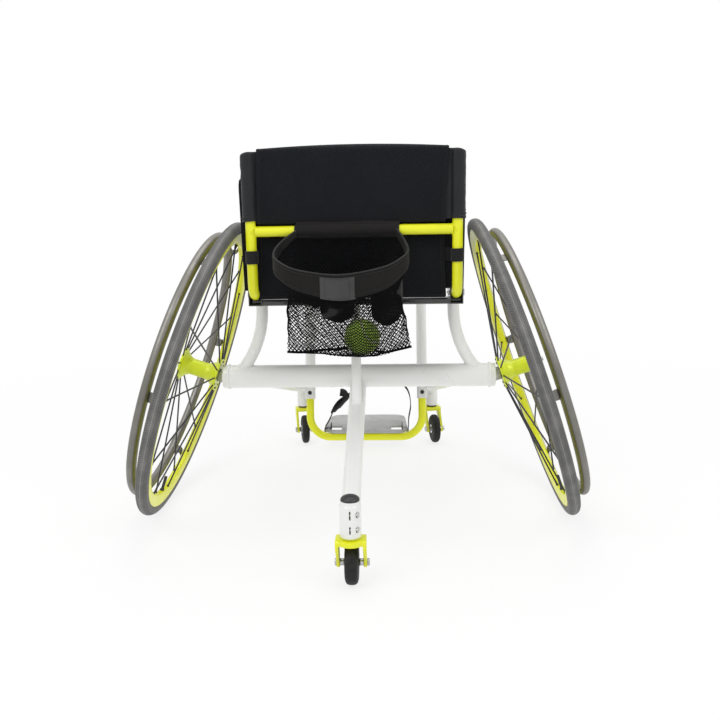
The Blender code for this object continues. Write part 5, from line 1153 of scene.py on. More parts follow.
def spacer_look(name, from_uv, pitch):
    look, tree, shader = new_look(name)
    place = own_metres(tree) if from_uv else add_node(tree, "ShaderNodeTexCoord").outputs["Object"]
    cell = use_effect(tree, mesh_cells, {"Place": place, "Pitch": pitch})
    dust = wear(tree, 0.08, pitch * 0.3)
    # The open cells are painted near black: painted shade inside them.
    tone = blend_colours(tree, cell["Holes"], (0.0058, 0.0068, 0.0105), (0.0010, 0.0012, 0.0018))
    tone = blend_colours(tree, times(tree, dust["Patches"], 0.22), tone, (0.011, 0.012, 0.016))
    height = plus(tree, cell["Height"], times(tree, dust["Grain"], 0.35))
    dress(tree, shader, tone, spread(tree, cell["Holes"], 0.0, 1.0, 0.74, 0.95), height, 0.8, pitch * 0.45, {
        "Sheen Weight": 0.05, "Sheen Roughness": 0.5, "Specular IOR Level": 0.2,
    })
    return look


BACK_LAYERS_APART = 0.0062
COVER_PITCH = 0.0034
spacer_cloth = spacer_look("spacer_cloth", True, COVER_PITCH)
cover_rear_y = POST_Y - 0.002 - 0.0003 - 0.0014
cover_front_y = cover_low_y + BACK_LAYERS_APART
turn_y = (cover_front_y + cover_rear_y) / 2
turn_r = (cover_front_y - cover_rear_y) / 2

# Knots down the cloth's path: how far back, how high, half its width, and its slack there.
FRONT_BOTTOM = 0.4550
LOOSE_BELOW = 0.505
SEAMS_BELOW = 0.556
cover_knots = []
for k in range(5):
    share = k / 5
    half = RAIL_X + POST_R + 0.0018 + 0.0037 * share
    cover_knots.append((cover_front_y, FRONT_BOTTOM + (PANEL_TOP - FRONT_BOTTOM) * share, half, 0.0))
cover_knots.append((cover_front_y, PANEL_TOP - 0.0055, PANEL_HALF, 0.0))
for k in range(5):
    angle = math.radians(30 + 30 * k)
    cover_knots.append((
        turn_y + turn_r * math.cos(angle), PANEL_TOP + 0.0022 + 0.0018 * math.sin(angle), PANEL_HALF,
        0.0055 * math.sin(angle),
    ))
cover_knots += [
    (cover_rear_y, PANEL_TOP + 0.001, PANEL_HALF, 0.0), (cover_rear_y, PANEL_TOP - 0.020, 0.1718, 0.0),
    (cover_rear_y, 0.640, 0.1715, 0.0), (cover_rear_y, PANEL_BOTTOM - 0.0025, 0.1712, 0.0),
    (cover_low_y, CROSSBAR_Z + 0.011, 0.1712, 0.0), (cover_low_y, CROSSBAR_Z - 0.0078, 0.1715, 0.0),
    (cover_low_y, 0.526, 0.1720, 0.0), (cover_low_y, 0.500, 0.1728, 0.15), (cover_low_y, 0.470, 0.1738, 0.6),
    (cover_low_y, 0.4390, 0.1752, 1.0),
]
cover_path = []
for here, there in zip(cover_knots, cover_knots[1:]):
    steps = max(1, round(math.hypot(there[0] - here[0], there[1] - here[1]) / 0.007))
    for k in range(steps):
        cover_path.append(tuple(a + (b - a) * (k / steps) for a, b in zip(here, there)))
cover_path.append(cover_knots[-1])
cover_rows = []
for y, z, half, slack in cover_path:
    behind = y < POST_Y
    rear_layer = y < cover_front_y - 0.003
    row = []
    for k in range(65):
        share = k / 32 - 1
        fold = 0.0
        if z < LOOSE_BELOW and rear_layer:
            fold = 0.0045 * min(slack, 1.0) * 0.5 * (1 - math.cos(2 * math.pi * (share + 1)))
        soft_fall = max(0.0, noise.noise(Vector((share * 4.2, z * 16.0, 1.0 if behind else 5.0))))
        push = soft_fall * (-0.0012 if behind else 0.0010)
        rise = slack * (1 - share * share) if z > PANEL_TOP else 0.0
        lean = -0.0065 * min(1.0, max(0.0, (PANEL_TOP - z) / 0.16)) if rear_layer else 0.0
        if y == cover_front_y:
            lean = 0.0070 * min(0.0, share) * min(1.0, max(0.0, (PANEL_TOP - 0.010 - z) / 0.05))
        row.append(Vector((half * share + lean, y + fold + push, z + rise)))
    cover_rows.append(row)
cover_mesh = skin("cover", cover_rows, ring=False, sharp=75.0)
cover = put(cover_mesh, "back_cover_mesh", spacer_cloth, "backrest", "back_cover", slot="mesh_cloth")
padding = cover.modifiers.new("spacer", "SOLIDIFY")
padding.thickness = 0.0026
padding.offset = 0.0


def bound_edge(line, inward, width, thick):
    """Rows of a folded tape over a cloth's edge: line runs along it, inward is into the cloth."""
    corners = [
        (-0.0012, -thick * 0.8), (-0.0018, 0.0), (-0.0012, thick * 0.8), (0.0005, thick), (width, thick),
        (width + 0.0003, 0.0), (width, -thick), (0.0005, -thick),
    ]
    rows = []
    for i, place in enumerate(line):
        ahead = heading(line, i)
        into = inward[i] - ahead * inward[i].dot(ahead)
        into.normalize()
        out = ahead.cross(into)
        rows.append([place + into * a + out * b for a, b in corners])
    return rows


TAPE_THICK = 0.0016
tapes = []
for line, inward, width in (
    ([row[0] for row in cover_rows], (1, 0, 0), 0.0036),
    ([row[-1] for row in cover_rows], (-1, 0, 0), 0.0036),
    (cover_rows[0], (0, 0, 1), 0.0050), (cover_rows[-1], (0, 0, 1), 0.0050),
):
    tapes.append(skin("tape", bound_edge(line, [Vector(inward)] * len(line), width, TAPE_THICK), sharp=50.0))
cover_tape = cloth_look(
    "cover_tape", (0.0016, 0.0018, 0.0026), (0.0062, 0.0068, 0.0090), 0.0009, 0.90, 0.04, 0.4
)
put(join_meshes("tape", tapes, 50.0), "back_cover_binding", cover_tape, "backrest", slot="mesh_cloth")
rear_part = []
low_part = []
for row, (y, z, half, slack) in zip(cover_rows, cover_path):
    if y < POST_Y and z < PANEL_TOP:
        rear_part.append(row)
    if POST_Y < y < cover_front_y - 0.003 and z < SEAMS_BELOW:
        low_part.append(row)
to_rear = Vector((0.0, -0.0018, 0.0))
cover_seams = [[row[index] + to_rear for row in part] for part in (rear_part, low_part) for index in (1, -2)]
sewn("back_cover_stitches", cover_seams, "mesh_cloth")


# Ball holder. A neoprene sleeve round the crossbar carries a stiff neoprene band that stands out
# behind the back, bound along its upper edge, with a bare grey patch in its middle.

neoprene = cloth_look(
    "neoprene", (0.0034, 0.0029, 0.0028), (0.0078, 0.0067, 0.0064), 0.0008, 0.88, 0.08, 0.35
)
binding_tape = cloth_look("binding_tape", (0.014, 0.014, 0.014), (0.036, 0.035, 0.034), 0.0009, 0.85, 0.08)
SLEEVE_LEFT = -0.108
SLEEVE_RIGHT = 0.083
SLEEVE_R = 0.0126
SLEEVE_MOUTH = 0.0103
sleeve_line = []
sleeve_radii = []
for k in range(49):
    x = SLEEVE_LEFT + (SLEEVE_RIGHT - SLEEVE_LEFT) * (k / 48)
    sleeve_line.append(Vector((x, POST_Y, CROSSBAR_Z)))
    sleeve_radii.append(SLEEVE_R + 0.0005 * noise.noise(Vector((x * 60.0, 2.0, 0.0))))
nudge = Vector((0.0004, 0.0, 0.0))
sleeve_line = [sleeve_line[0] - nudge] + sleeve_line + [sleeve_line[-1] + nudge]
sleeve_radii = [SLEEVE_MOUTH] + sleeve_radii + [SLEEVE_MOUTH]
sleeve = skin("sleeve", pipe_rows(sleeve_line, sleeve_radii, 32), caps=False)
LIP_SECTION = mm((-1.1, -3), (-1.1, 3), (0, 3.7), (1.1, 3), (1.1, -3))
lip_rows = []
for x in np.linspace(SLEEVE_LEFT + 0.003, SLEEVE_RIGHT + 0.002, 40):
    lip_y = POST_Y - 0.0050 + 0.0005 * math.sin(x * 90)
    lip_z = CROSSBAR_Z + 0.0125 + 0.0007 * math.sin(x * 55)
    lip_rows.append([Vector((x, lip_y, lip_z)) + Vector((0.0, y, z)) for y, z in LIP_SECTION])
lip = skin("lip", lip_rows, sharp=60.0)

sleeve_rear = POST_Y - POST_FACE - 0.00125
band_knots = [
    (-0.104, sleeve_rear, CROSSBAR_Z + 0.002, CROSSBAR_Z - 0.008),
    (-0.133, -0.108, 0.545, 0.527),
    (-0.143, -0.130, 0.527, 0.502),
    (-0.131, -0.149, 0.514, 0.483),
    (-0.095, -0.1655, 0.500, 0.463),
    (-0.02225, -0.1715, 0.4915, 0.449),
    (0.0525, -0.1655, 0.503, 0.463),
    (0.0865, -0.149, 0.518, 0.487),
    (0.0985, -0.130, 0.530, 0.506),
    (0.0925, -0.108, 0.547, 0.530),
    (0.079, sleeve_rear, CROSSBAR_Z + 0.002, CROSSBAR_Z - 0.008),
]
band_top = smooth_line([(x, y, t) for x, y, t, b in band_knots], 9)
band_low = smooth_line([(x, y, b) for x, y, t, b in band_knots], 9)


def band_point(i, share, out):
    """A point of the band: i along it, share up it from its lower edge, out from its middle."""
    low = band_low[i]
    top = band_top[i]
    before = max(i - 1, 0)
    after = min(i + 1, len(band_top) - 1)
    ahead = (band_low[after] + band_top[after] - band_low[before] - band_top[before]).normalized()
    up = (top - low).normalized()
    away = ahead.cross(up).normalized()
    return low.lerp(top, share) - away * out


def nearest_along(line, x, behind):
    """Where a line behind the given depth comes nearest to x."""
    return min(range(len(line)), key=lambda i: abs(line[i].x - x) if line[i].y < behind else math.inf)


band_count = len(band_top)
BAND_SECTION = [
    (0.012, 0.0011), (0.06, 0.0016), (0.25, 0.0018), (0.5, 0.0018), (0.75, 0.0018), (0.94, 0.0016),
    (0.988, 0.0011),
]
band_rows = []
for i in range(band_count):
    ring = [band_point(i, share, -out) for share, out in BAND_SECTION]
    ring.append(band_point(i, 1.0, 0.0))
    ring += [band_point(i, share, out) for share, out in reversed(BAND_SECTION)]
    ring.append(band_point(i, 0.0, 0.0))
    band_rows.append(ring)
band = skin("band", band_rows, sharp=60.0)
up_way = [(top - low).normalized() for top, low in zip(band_top, band_low)]
low_edge = [band_point(i, 0.025, 0.0) for i in range(band_count)]
low_tape = skin("tape", bound_edge(low_edge, up_way, 0.0030, 0.0020), sharp=50.0)
put(join_meshes("holder", [sleeve, lip, band, low_tape], 60.0), "holder_band_neoprene", neoprene, "backrest",
    "holder_band")
top_edge = [band_point(i, 0.985, 0.0) for i in range(band_count)]
top_tape = skin("tape", bound_edge(top_edge, [-u for u in up_way], 0.0004, 0.0020), sharp=50.0)
put(top_tape, "holder_band_binding", binding_tape, "backrest", slot="neoprene")
middle = band_count // 2
outer = -1.0 if band_point(middle, 0.5, 0.002).y > band_low[middle].y else 1.0
inner_run = range(2, band_count - 2)
band_lines = [[band_point(i, share, outer * 0.0025) for i in inner_run] for share in (0.86, 0.13)]
sewn("holder_band_stitches", band_lines, "neoprene", pitch=0.0034, length=0.0025)

patch_grey = cloth_look("patch_grey", (0.033, 0.033, 0.033), (0.052, 0.052, 0.052), 0.0007, 0.75, 0.06, 0.3)
patch_first = nearest_along(band_top, -0.0560, -0.15)
patch_last = nearest_along(band_top, 0.0082, -0.15)
PATCH_BACK = 0.0016
PATCH_FACE = 0.0031
PATCH_SECTION = [
    (0.86, PATCH_BACK), (0.5, PATCH_BACK), (-0.07, PATCH_BACK), (-0.07, PATCH_FACE), (-0.05, PATCH_FACE),
    (0.5, PATCH_FACE), (0.84, PATCH_FACE), (0.86, PATCH_FACE),
]
patch_rows = []
for i in range(patch_first, patch_last + 1):
    patch_rows.append([band_point(i, share, outer * out) for share, out in PATCH_SECTION])
put(skin("patch", patch_rows, sharp=55.0), "holder_patch_bare", patch_grey, "backrest", slot="neoprene")
around = [(i, 0.81) for i in range(patch_first + 1, patch_last)]
around += [(patch_last - 1, share) for share in (0.6, 0.4, 0.2, 0.05)]
around += [(i, -0.01) for i in range(patch_last - 1, patch_first, -1)]
around += [(patch_first + 1, share) for share in (0.05, 0.2, 0.4, 0.6, 0.81)]
patch_frame = [band_point(i, share, outer * 0.0034) for i, share in around]
sewn("holder_patch_stitches", [patch_frame], "neoprene", pitch=0.0028, length=0.0020, thick=0.00022)


# Ball net. A bag of knotted black diamond net hangs from the band, its floor hemmed with cord,
# and two doubled flaps hang inside it from the band's lower edge.

net_cord = rigid_look(
    "net_cord", (0.0010, 0.0011, 0.0014), (0.0026, 0.0028, 0.0034), 0.82, 0.95, peel=0.2, grain_size=0.0006,
    specular=0.12,
)
BALL_R = 0.033
BALL_X = 0.014
BALL_Y = -0.1325
BALL_Z = 0.3382 + 0.0014 + 0.0012 + BALL_R
ball_place = Vector((BALL_X, BALL_Y, BALL_Z))
net_round = (BALL_R + 0.0012 + 0.0007) / math.cos(math.pi / 16)


def run_through(knots, value):
    """The value between the knots (place, value) nearest to this place."""
    for (x0, z0), (x1, z1) in zip(knots, knots[1:]):
        if value <= x1:
            share = (max(value, x0) - x0) / (x1 - x0)
            share = share * share * (3 - 2 * share)
            return z0 + (z1 - z0) * share
    return knots[-1][1]


NET_LEFT = -0.1236
NET_RIGHT = 0.1035
NET_NECK = 0.430
NET_FLOOR = mm(
    (-123.6, 347.4), (-100.6, 345.5), (-63.8, 344), (-36.3, 340.2), (-8.8, 338.2), (14, 337.4), (37.1, 338.8),
    (55.4, 342.8), (82.9, 350), (103.5, 355.4),
)
NET_COLUMNS = 64
NET_ROWS = 50
NET_GAP = 0.0011


def near_ball(x, reach):
    return math.exp(-(((x - BALL_X) / reach) ** 2))


def net_level(share):
    """A ring round the bag: share is 0 at its floor and 1 at the level where the flaps end."""
    left = NET_LEFT + 0.0035 * share
    right = NET_RIGHT - 0.0150 * share
    flat = 0.0012 + 0.030 * share ** 0.9
    ring = []
    for k in range(160):
        angle = 2 * math.pi * (k + 0.5) / 160
        c = math.cos(angle)
        s = math.sin(angle)
        x = (left + right) / 2 + (right - left) / 2 * math.copysign(abs(c) ** 0.55, c)
        floor_z = run_through(NET_FLOOR, x)
        z = floor_z + (NET_NECK - floor_z) * share
        pouch = math.sqrt(max(net_round ** 2 - (z - BALL_Z) ** 2, 0.0)) if z < BALL_Z else net_round
        by_ball = near_ball(x, 0.046)
        depth = max(flat, pouch * by_ball + flat * (1 - by_ball))
        ring.append(Vector((x, BALL_Y + depth * math.copysign(abs(s) ** 0.6, s), z)))
    return ring


def run_lengths(line):
    runs = [0.0]
    for p, q in zip(line, line[1:]):
        runs.append(runs[-1] + (q - p).length)
    return runs


def point_at(line, runs, want):
    """The point of a line at the wanted length along it."""
    i = min(max(n for n, run in enumerate(runs) if run <= want), len(line) - 2)
    return line[i].lerp(line[i + 1], (want - runs[i]) / max(runs[i + 1] - runs[i], 1e-9))


def spaced(ring, count):
    """The ring's first and second halves, each cut into equal steps."""
    placed = []
    half = len(ring) // 2
    for part in (ring[:half] + [ring[half]], ring[half:] + [ring[0]]):
        runs = run_lengths(part)
        placed += [point_at(part, runs, runs[-1] * k / (count // 2)) for k in range(count // 2)]
    return placed


net_seam = smooth_line([(x, y, b - 0.0030) for x, y, t, b in band_knots], 12)
sleeve_low = CROSSBAR_Z - 0.0139
sleeve_long = SLEEVE_RIGHT - SLEEVE_LEFT - 0.008
net_top = [
    Vector((SLEEVE_RIGHT - 0.004 - k / 60 * sleeve_long, sleeve_rear + 0.001, sleeve_low)) for k in range(60)
]
net_top += [Vector((p.x, p.y, min(p.z, sleeve_low))) for p in net_seam[::2]]
LEVELS = (0.0, 0.05, 0.13, 0.24, 0.38, 0.55, 0.75, 1.0)
net_rings = [spaced(net_level(share), NET_COLUMNS) for share in LEVELS]
net_rings.append(spaced(net_top, NET_COLUMNS))
net_columns = [smooth_line([ring[i] for ring in net_rings], 10) for i in range(NET_COLUMNS)]
column_runs = [run_lengths(column) for column in net_columns]
net_grid = []
for j in range(NET_ROWS + 1):
    level = [point_at(line, runs, runs[-1] * j / NET_ROWS) for line, runs in zip(net_columns, column_runs)]
    row = []
    for i in range(NET_COLUMNS):
        place = level[i].lerp(level[(i + 1) % NET_COLUMNS], 0.5) if j % 2 else level[i]
        free = min(1.0, j / 4) * min(1.0, (NET_ROWS - j) / 6)
        shifts = (Vector((0, 0, 0)), Vector((9, 0, 0)), Vector((0, 9, 0)))
        slack = Vector([noise.noise(place * 60.0 + shift) for shift in shifts])
        loose = slack * 0.0022 * free * (1.0 - 0.7 * near_ball(place.x, 0.05))
        moved = place + loose
        out = moved - ball_place
        if out.length < BALL_R + NET_GAP:
            moved = ball_place + out.normalized() * (BALL_R + NET_GAP)
        row.append(moved)
    net_grid.append(row)
points = [tuple(p) for row in net_grid for p in row]
edges = []
for j in range(NET_ROWS):
    for i in range(NET_COLUMNS):
        side_step = (i + 1) % NET_COLUMNS if j % 2 else (i - 1) % NET_COLUMNS
        edges.append((j * NET_COLUMNS + i, (j + 1) * NET_COLUMNS + i))
        edges.append((j * NET_COLUMNS + i, (j + 1) * NET_COLUMNS + side_step))
lattice = bpy.data.meshes.new("lattice")
lattice.from_pydata(points, edges, [])

# The cord repeat: a round cord along every edge of a lattice.
corded, given, result = new_repeat("cord_along_edges", "Lines", "Cord Radius", "Cord Sides", "Finish")
cord_runs = add_node(corded, "GeometryNodeMeshToCurve", {0: given["Lines"]})
round_cord = add_node(corded, "GeometryNodeCurvePrimitiveCircle", {
    "Resolution": given["Cord Sides"], "Radius": given["Cord Radius"],
})
laid_cord = add_node(corded, "GeometryNodeCurveToMesh", {
    "Curve": cord_runs.outputs[0], "Profile Curve": round_cord.outputs[0], "Fill Caps": True,
})
end_repeat(corded, laid_cord, given["Finish"], result)
net_mesh = settled("net", lattice, corded, {"Cord Radius": 0.00080, "Cord Sides": 5, "Finish": net_cord})
net = put(net_mesh, "ball_net_cords", net_cord, "backrest", "ball_net")
NET_HEM = mm(
    (-124, -132.5, 347.8), (-100.6, -130, 346.2), (-78.4, -126.5, 346.9), (-56.2, -122.5, 349),
    (-36, -118, 349), (-17.6, -112, 350), (14, -104, 350), (38, -111, 344), (56, -124, 343.5),
    (73.8, -130, 348.2), (104, -132.5, 355.6),
)
top_loop = [p + Vector((0, 0, -0.0005)) for p in net_grid[-1]]
hems = [
    skin("hem", pipe_rows(line, radius, sides), sharp=80.0)
    for line, radius, sides in (
        (smooth_line(NET_HEM, 6), 0.0024, 10), (net_grid[0][:NET_COLUMNS // 2], 0.0014, 8),
        (top_loop + [top_loop[0]], 0.0013, 8),
    )
]
put(join_meshes("hem", hems, 80.0), "ball_net_hems", net_cord, "backrest")

flap_meshes = []
for left, right, low in ((-0.0585, 0.0030, 0.4045), (0.0325, 0.0880, 0.3965)):
    rows = []
    for j in range(15):
        share = j / 14
        row = []
        for k in range(13):
            across = k / 12 * 2 - 1
            width = (right - left) / 2 * math.sqrt(max(1 - max(0.0, share * 1.9 - 0.95) ** 3, 0.02))
            x = (left + right) / 2 + width * across
            start = band_point(nearest_along(band_low, x, -0.12), 0.10, outer * -0.0020)
            end_z = low + 0.004 * across * across
            sway = 0.0018 * math.sin(9 * share + 3 * across) * share
            y = start.y + 0.0105 * share ** 1.5 + sway + 0.0015
            row.append(Vector((x, y, start.z + (end_z - start.z) * share)))
        rows.append(row)
    flap_meshes.append(skin("flap", rows, ring=False, sharp=80.0))
flaps = put(join_meshes("flaps", flap_meshes, 80.0), "ball_net_flaps", webbing, "backrest", slot="net_cord")
flap_thick = flaps.modifiers.new("doubled", "SOLIDIFY")
flap_thick.thickness = 0.0014
flap_thick.offset = 0.0


# Ball. A felt covered ball with a pale curved seam lies in the net's floor.

ball_felt, tree, shader = new_look("ball_felt")
felt_place = add_node(tree, "ShaderNodeTexCoord").outputs["Object"]
fibres = add_node(tree, "ShaderNodeTexNoise", {
    "Vector": felt_place, "Scale": 700.0, "Detail": 4.0, "Distortion": 1.5,
}).outputs["Fac"]
matted = add_node(tree, "ShaderNodeTexNoise", {
    "Vector": felt_place, "Scale": 150.0, "Detail": 3.0,
}).outputs["Fac"]
seam_share = add_node(tree, "ShaderNodeAttribute", attribute_name="seam").outputs["Fac"]
felt_tone = blend_colours(tree, fibres, (0.34, 0.58, 0.05), (0.62, 0.86, 0.14))
felt_tone = blend_colours(tree, spread(tree, matted, 0.45, 0.7, 0.0, 0.4), felt_tone, (0.32, 0.52, 0.06))
felt_tone = blend_colours(tree, seam_share, felt_tone, (0.55, 0.58, 0.48))
felt_rough = spread(tree, seam_share, 0.0, 1.0, 0.95, 0.55)
dress(tree, shader, felt_tone, felt_rough, plus(tree, fibres, matted), 0.7, 0.0009, {"Sheen Weight": 0.5})
ball_shape = bmesh.new()
bmesh.ops.create_icosphere(ball_shape, subdivisions=6, radius=1.0)
turns = 2 * np.pi * np.arange(400) / 400
seam_points = np.stack([
    0.75 * np.cos(turns) + 0.25 * np.cos(3 * turns), 0.75 * np.sin(turns) - 0.25 * np.sin(3 * turns),
    0.866 * np.sin(2 * turns),
], axis=1)
seam_points /= np.linalg.norm(seam_points, axis=1, keepdims=True)
ball_mesh = bpy.data.meshes.new("ball")
ball_shape.to_mesh(ball_mesh)
ball_shape.free()
round_places = np.array([tuple(v.co) for v in ball_mesh.vertices])
nearest = np.arccos(np.clip((round_places @ seam_points.T).max(axis=1), -1.0, 1.0)) * BALL_R
in_seam = np.clip(1.0 - (nearest - 0.0010) / 0.0006, 0.0, 1.0)
radii = BALL_R - 0.0003 - 0.0008 * np.clip(1.0 - nearest / 0.0024, 0.0, 1.0) ** 0.7
seam_layer = ball_mesh.attributes.new("seam", "FLOAT", "POINT")
seam_layer.data.foreach_set("value", in_seam.astype(np.float32))
ball_mesh.vertices.foreach_set("co", (round_places * radii[:, None]).astype(np.float32).reshape(-1))
ball_mesh.transform(Matrix.Rotation(2.1, 4, "X") @ Matrix.Rotation(0.2, 4, "Y"))
ball_mesh.shade_smooth()
put(ball_mesh, "ball_felted", ball_felt, "ball", "ball", matrix=Matrix.Translation(ball_place))


# Seat. A black webbing sling is sleeved over both rails and stitched, and carries a boxed cushion
# with piped edges, covered in the same spacer mesh as the back.

rail_tilt = math.atan(RAIL_RISE)
rail_bore = 0.0130 / math.cos(math.pi / 12)
sling_top = rail_bore + 0.0025


def sling_hook(radius, angles):
    return [(RAIL_X + radius * math.cos(a), radius * math.sin(a)) for a in np.radians(angles)]


SLING_REAR = -0.030
SLING_LONG = 0.292
HOOK_ANGLES = np.linspace(90, -16, 14)
flat_run = RAIL_X - 0.006
sling_right = sling_hook(sling_top, HOOK_ANGLES) + sling_hook(rail_bore, HOOK_ANGLES[::-1])
sling_outline = sling_right + [(x, rail_bore) for x in np.linspace(flat_run, -flat_run, 40)]
sling_outline += [(-x, z) for x, z in reversed(sling_right)]
sling_outline += [(x, sling_top) for x in np.linspace(-flat_run, flat_run, 40)]
sling_rows = []
for k in range(25):
    y = SLING_REAR + SLING_LONG * k / 24
    row = []
    for x, z in sling_outline:
        puff = 0.0002 * noise.noise(Vector((x * 30.0, y * 30.0, 0.0)))
        row.append(Vector((x, y - z * math.sin(rail_tilt), rail_height(y) + z * math.cos(rail_tilt) + puff)))
    sling_rows.append(row)
sling = put(skin("sling", sling_rows, sharp=60.0), "seat_sling_webbing", webbing, "frame", "seat_sling")

CUSHION_MID = 0.179
cushion_shape = bmesh.new()
cushion_shape.from_mesh(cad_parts["cushion"].data)
bmesh.ops.remove_doubles(cushion_shape, verts=cushion_shape.verts, dist=1e-6)
to_seat = (
    Matrix.Translation((0.0, CUSHION_MID, rail_height(CUSHION_MID)))
    @ Matrix.Rotation(rail_tilt, 4, "X")
    @ Matrix.Translation((0.0, 0.0, sling_top + 0.0003))
)
cushion_mesh = bpy.data.meshes.new("cushion")
cushion_shape.to_mesh(cushion_mesh)
cushion_shape.free()
cushion_mesh.transform(to_seat.inverted() @ Matrix.Translation(-axle_shift))
CUSHION_SHRINK = (0.985, 0.985, 0.93)
for vert in cushion_mesh.vertices:
    for axis, share in enumerate(CUSHION_SHRINK):
        vert.co[axis] *= share
filled = bpy.data.objects.new("cushion_fill", cushion_mesh)
scene.collection.objects.link(filled)
remesh = filled.modifiers.new("even", "REMESH")
remesh.mode = "VOXEL"
remesh.voxel_size = 0.0055
even_mesh = evaluated(filled)
filled.modifiers.clear()
filled.data = even_mesh
bpy.data.meshes.remove(cushion_mesh)
before = np.array([tuple(v.co) for v in even_mesh.vertices])
cloth = filled.modifiers.new("stuffed", "CLOTH")
cloth.settings.use_pressure = True
cloth.settings.uniform_pressure_force = 4.0
cloth.settings.effector_weights.gravity = 0.0
for number in range(1, 21):
    scene.frame_set(number)
stuffed = evaluated(filled)
filled.modifiers.clear()
filled.data = stuffed
scene.frame_set(1)
cushion_mesh = filled.data
bpy.data.objects.remove(filled)
after = np.array([tuple(v.co) for v in cushion_mesh.vertices])
moved = after - before
length = np.maximum(np.linalg.norm(moved, axis=1, keepdims=True), 1e-9)
after = before + moved * np.minimum(1.0, 0.007 / length)
after[:, 2] = np.maximum(after[:, 2], 0.0004)
cushion_mesh.vertices.foreach_set("co", after.astype(np.float32).reshape(-1))
cushion_mesh.shade_smooth()
cushion_faces = [tuple(f.vertices) for f in cushion_mesh.polygons]
surface_tree = BVHTree.FromPolygons([tuple(p) for p in after], cushion_faces)
PIPING_R = 0.0018
PIPING_CORNER = 0.022
straight_x = float(np.abs(after[:, 0]).max()) - PIPING_CORNER
straight_y = float(np.abs(after[:, 1]).max()) - PIPING_CORNER
pipes = []
for height in (0.0050, 0.0290):
    loop = []
    for cx, cy, start in ((1, 1, 0), (-1, 1, 90), (-1, -1, 180), (1, -1, 270)):
        for k in range(13):
            angle = math.radians(start + 90 * k / 12)
            x = cx * straight_x + PIPING_CORNER * math.cos(angle)
            loop.append(Vector((x, cy * straight_y + PIPING_CORNER * math.sin(angle), height)))
    dense = []
    for a, b in zip(loop, loop[1:] + [loop[0]]):
        count = max(1, round((b - a).length / 0.008))
        dense += [a.lerp(b, k / count) for k in range(count)]
    seated = []
    for p in dense:
        inward = (Vector((p.x * 0.5, p.y * 0.5, height)) - p).normalized()
        hit = surface_tree.ray_cast(p - inward * 0.03, inward)[0]
        seated.append(hit if hit is not None else p)
    pipes.append(skin("piping", pipe_rows(seated + [seated[0]], PIPING_R, 10), sharp=80.0))
spacer_soft = spacer_look("spacer_cushion", False, COVER_PITCH)
cushion = put(cushion_mesh, "cushion_stuffed", spacer_soft, "frame", "cushion", slot="mesh_cloth",
              matrix=to_seat)
rounder = cushion.modifiers.new("rounder", "SUBSURF")
rounder.levels = 1
rounder.render_levels = 1
put(join_meshes("piping", pipes, 80.0), "cushion_piping", webbing, "frame", slot="mesh_cloth", matrix=to_seat)


# Footrest. A yellow U-shaped tube slides up the front uprights and is held by a screw at each
# side. A grey plate is fixed on its bar, and a webbing strap arches over it from its two slots.

grey_plate = rigid_look(
    "grey_plate", (0.46, 0.46, 0.46), (0.40, 0.40, 0.40), 0.42, 0.55, peel=0.25, patch_size=0.03,
    grain_size=0.0012,
)
FOOT_TUBE_R = 0.0095
FOOT_BAR_Z = 0.037
foot_start = Vector((0.0, FRONT_Y, FRONT_Z)) + front_along * 0.055
bar_y = front_y(FOOT_BAR_Z)
foot_line = bent([
    (-FRONT_X, foot_start.y, foot_start.z), (-FRONT_X, bar_y, FOOT_BAR_Z), (FRONT_X, bar_y, FOOT_BAR_Z),
    (FRONT_X, foot_start.y, foot_start.z),
], [0.052, 0.052], 14)
put(skin("foot_tube", pipe_rows(foot_line, FOOT_TUBE_R)), "footrest_tube_bent", yellow_paint, "footrest",
    "footrest_tube")
bolt_z = FRONT_Z + 0.014
SCREW_SECTION = mm((0, 1), (2.4, 1), (2.4, 3.2), (3.8, 3.2), (5, 1.8), (5, 0), (3, 0), (3, -2.9), (0, -2.9))
for side, sign in SIDES:
    screw = lathe("screw", SCREW_SECTION, 24, 0.0002)
    seat = Vector((sign * FRONT_X, front_y(bolt_z), bolt_z)) + rearwards * 0.0130
    put(screw, f"clamp_bolt_{side}_screw", black_plastic, "frame", f"clamp_bolt_{side}",
        matrix=Matrix.Translation(seat) @ Matrix.Rotation(math.pi / 2 - math.atan(FRONT_SLOPE), 4, "X"))
edged_copy("footplate", "footplate_coated", grey_plate, "footrest", 0.0010)

PLATE_LOW = FOOT_BAR_Z + FOOT_TUBE_R + 0.0003
PLATE_HIGH = PLATE_LOW + 0.005
SLOT_Y = 0.381
PLATE_REAR_Y = 0.347 + 0.018
PLATE_FRONT_Y = 0.505
REAR_HALF = 0.104
FRONT_HALF = 0.097
TAPER = (FRONT_HALF - REAR_HALF) / (PLATE_FRONT_Y - PLATE_REAR_Y)
plate_half = REAR_HALF + TAPER * (SLOT_Y - PLATE_REAR_Y)
strap_in = plate_half - 0.0125 - 0.0013
strap_out = plate_half - TAPER * 0.0125 + 0.0013
wrap = [
    (strap_in, PLATE_HIGH + 0.011), (strap_in, PLATE_LOW - 0.0003), (strap_in + 0.0009, PLATE_LOW - 0.0013),
    (strap_out - 0.0009, PLATE_LOW - 0.0013), (strap_out, PLATE_LOW - 0.0003), (strap_out, PLATE_HIGH),
]
ARCH_TOP = mm(
    (-95, 71), (-80, 99), (-56, 127), (-20, 158), (30, 178), (78, 174), (104, 149), (111.3, 112), (106.5, 78)
)
arch_knots = [(-strap_out, PLATE_HIGH + 0.0015)] + ARCH_TOP + [(strap_out, PLATE_HIGH + 0.0015)]
arch = smooth_line([(x, 0.0, z) for x, z in arch_knots], 9)
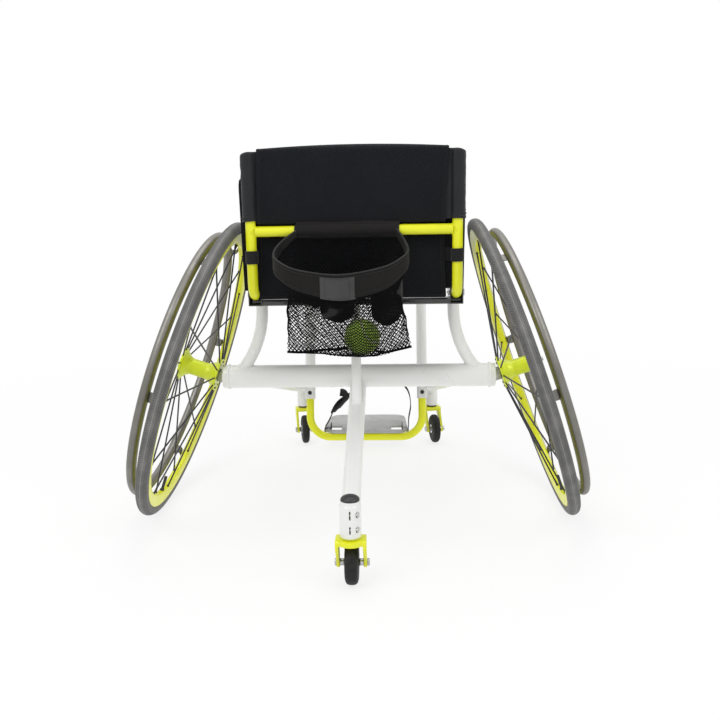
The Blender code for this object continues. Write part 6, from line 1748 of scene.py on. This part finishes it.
whole_strap = [Vector((-x, 0.0, z)) for x, z in wrap] + arch[1:-1]
whole_strap += [Vector((x, 0.0, z)) for x, z in reversed(wrap)]
STRAP_TWIST = math.radians(45.0)
FOOT_STRAP_SECTION = mm(
    (-12.5, -0.5), (-12, -0.95), (0, -0.95), (12, -0.95), (12.5, -0.5), (12.5, 0.5), (12, 0.95), (0, 0.95),
    (-12, 0.95), (-12.5, 0.5),
)
foot_rows = []
for i, place in enumerate(whole_strap):
    ahead = heading(whole_strap, i)
    turn = STRAP_TWIST * math.exp(-((place.x + 0.066) / 0.016) ** 2 / 2) if place.z > 0.09 else 0.0
    wide = Vector((0.0, math.cos(turn), 0.0)) + Vector((ahead.z, 0.0, -ahead.x)) * math.sin(turn)
    out = wide.cross(ahead).normalized()
    middle = place + Vector((0.0, SLOT_Y, 0.0))
    foot_rows.append([middle + wide * a + out * b for a, b in FOOT_STRAP_SECTION])
strap_mesh = skin("foot_strap", foot_rows, sharp=60.0)
tail_line = smooth_line([
    (-0.0705, SLOT_Y - 0.010, 0.1060), (-0.0600, SLOT_Y - 0.011, 0.1180), (-0.0500, SLOT_Y - 0.012, 0.1300),
    (-0.0490, SLOT_Y - 0.015, 0.1400), (-0.0560, SLOT_Y - 0.018, 0.1475), (-0.0640, SLOT_Y - 0.018, 0.1485),
], 6)
TAIL_SECTION = mm((-10.5, -0.8), (10.5, -0.8), (11, 0), (10.5, 0.8), (-10.5, 0.8), (-11, 0))
tail_rows = []
for i, place in enumerate(tail_line):
    ahead = heading(tail_line, i)
    lean = Vector((0.72, 0.62, 0.30)) if i < 18 else Vector((0.15, 0.70, 0.70))
    wide = (lean - ahead * ahead.dot(lean)).normalized()
    out = wide.cross(ahead).normalized()
    tail_rows.append([place + wide * a + out * b for a, b in TAIL_SECTION])
tail_mesh = skin("strap_tail", tail_rows, sharp=60.0)
put(join_meshes("foot_strap", [strap_mesh, tail_mesh], 60.0), "foot_strap_webbing", webbing, "footrest",
    "foot_strap")
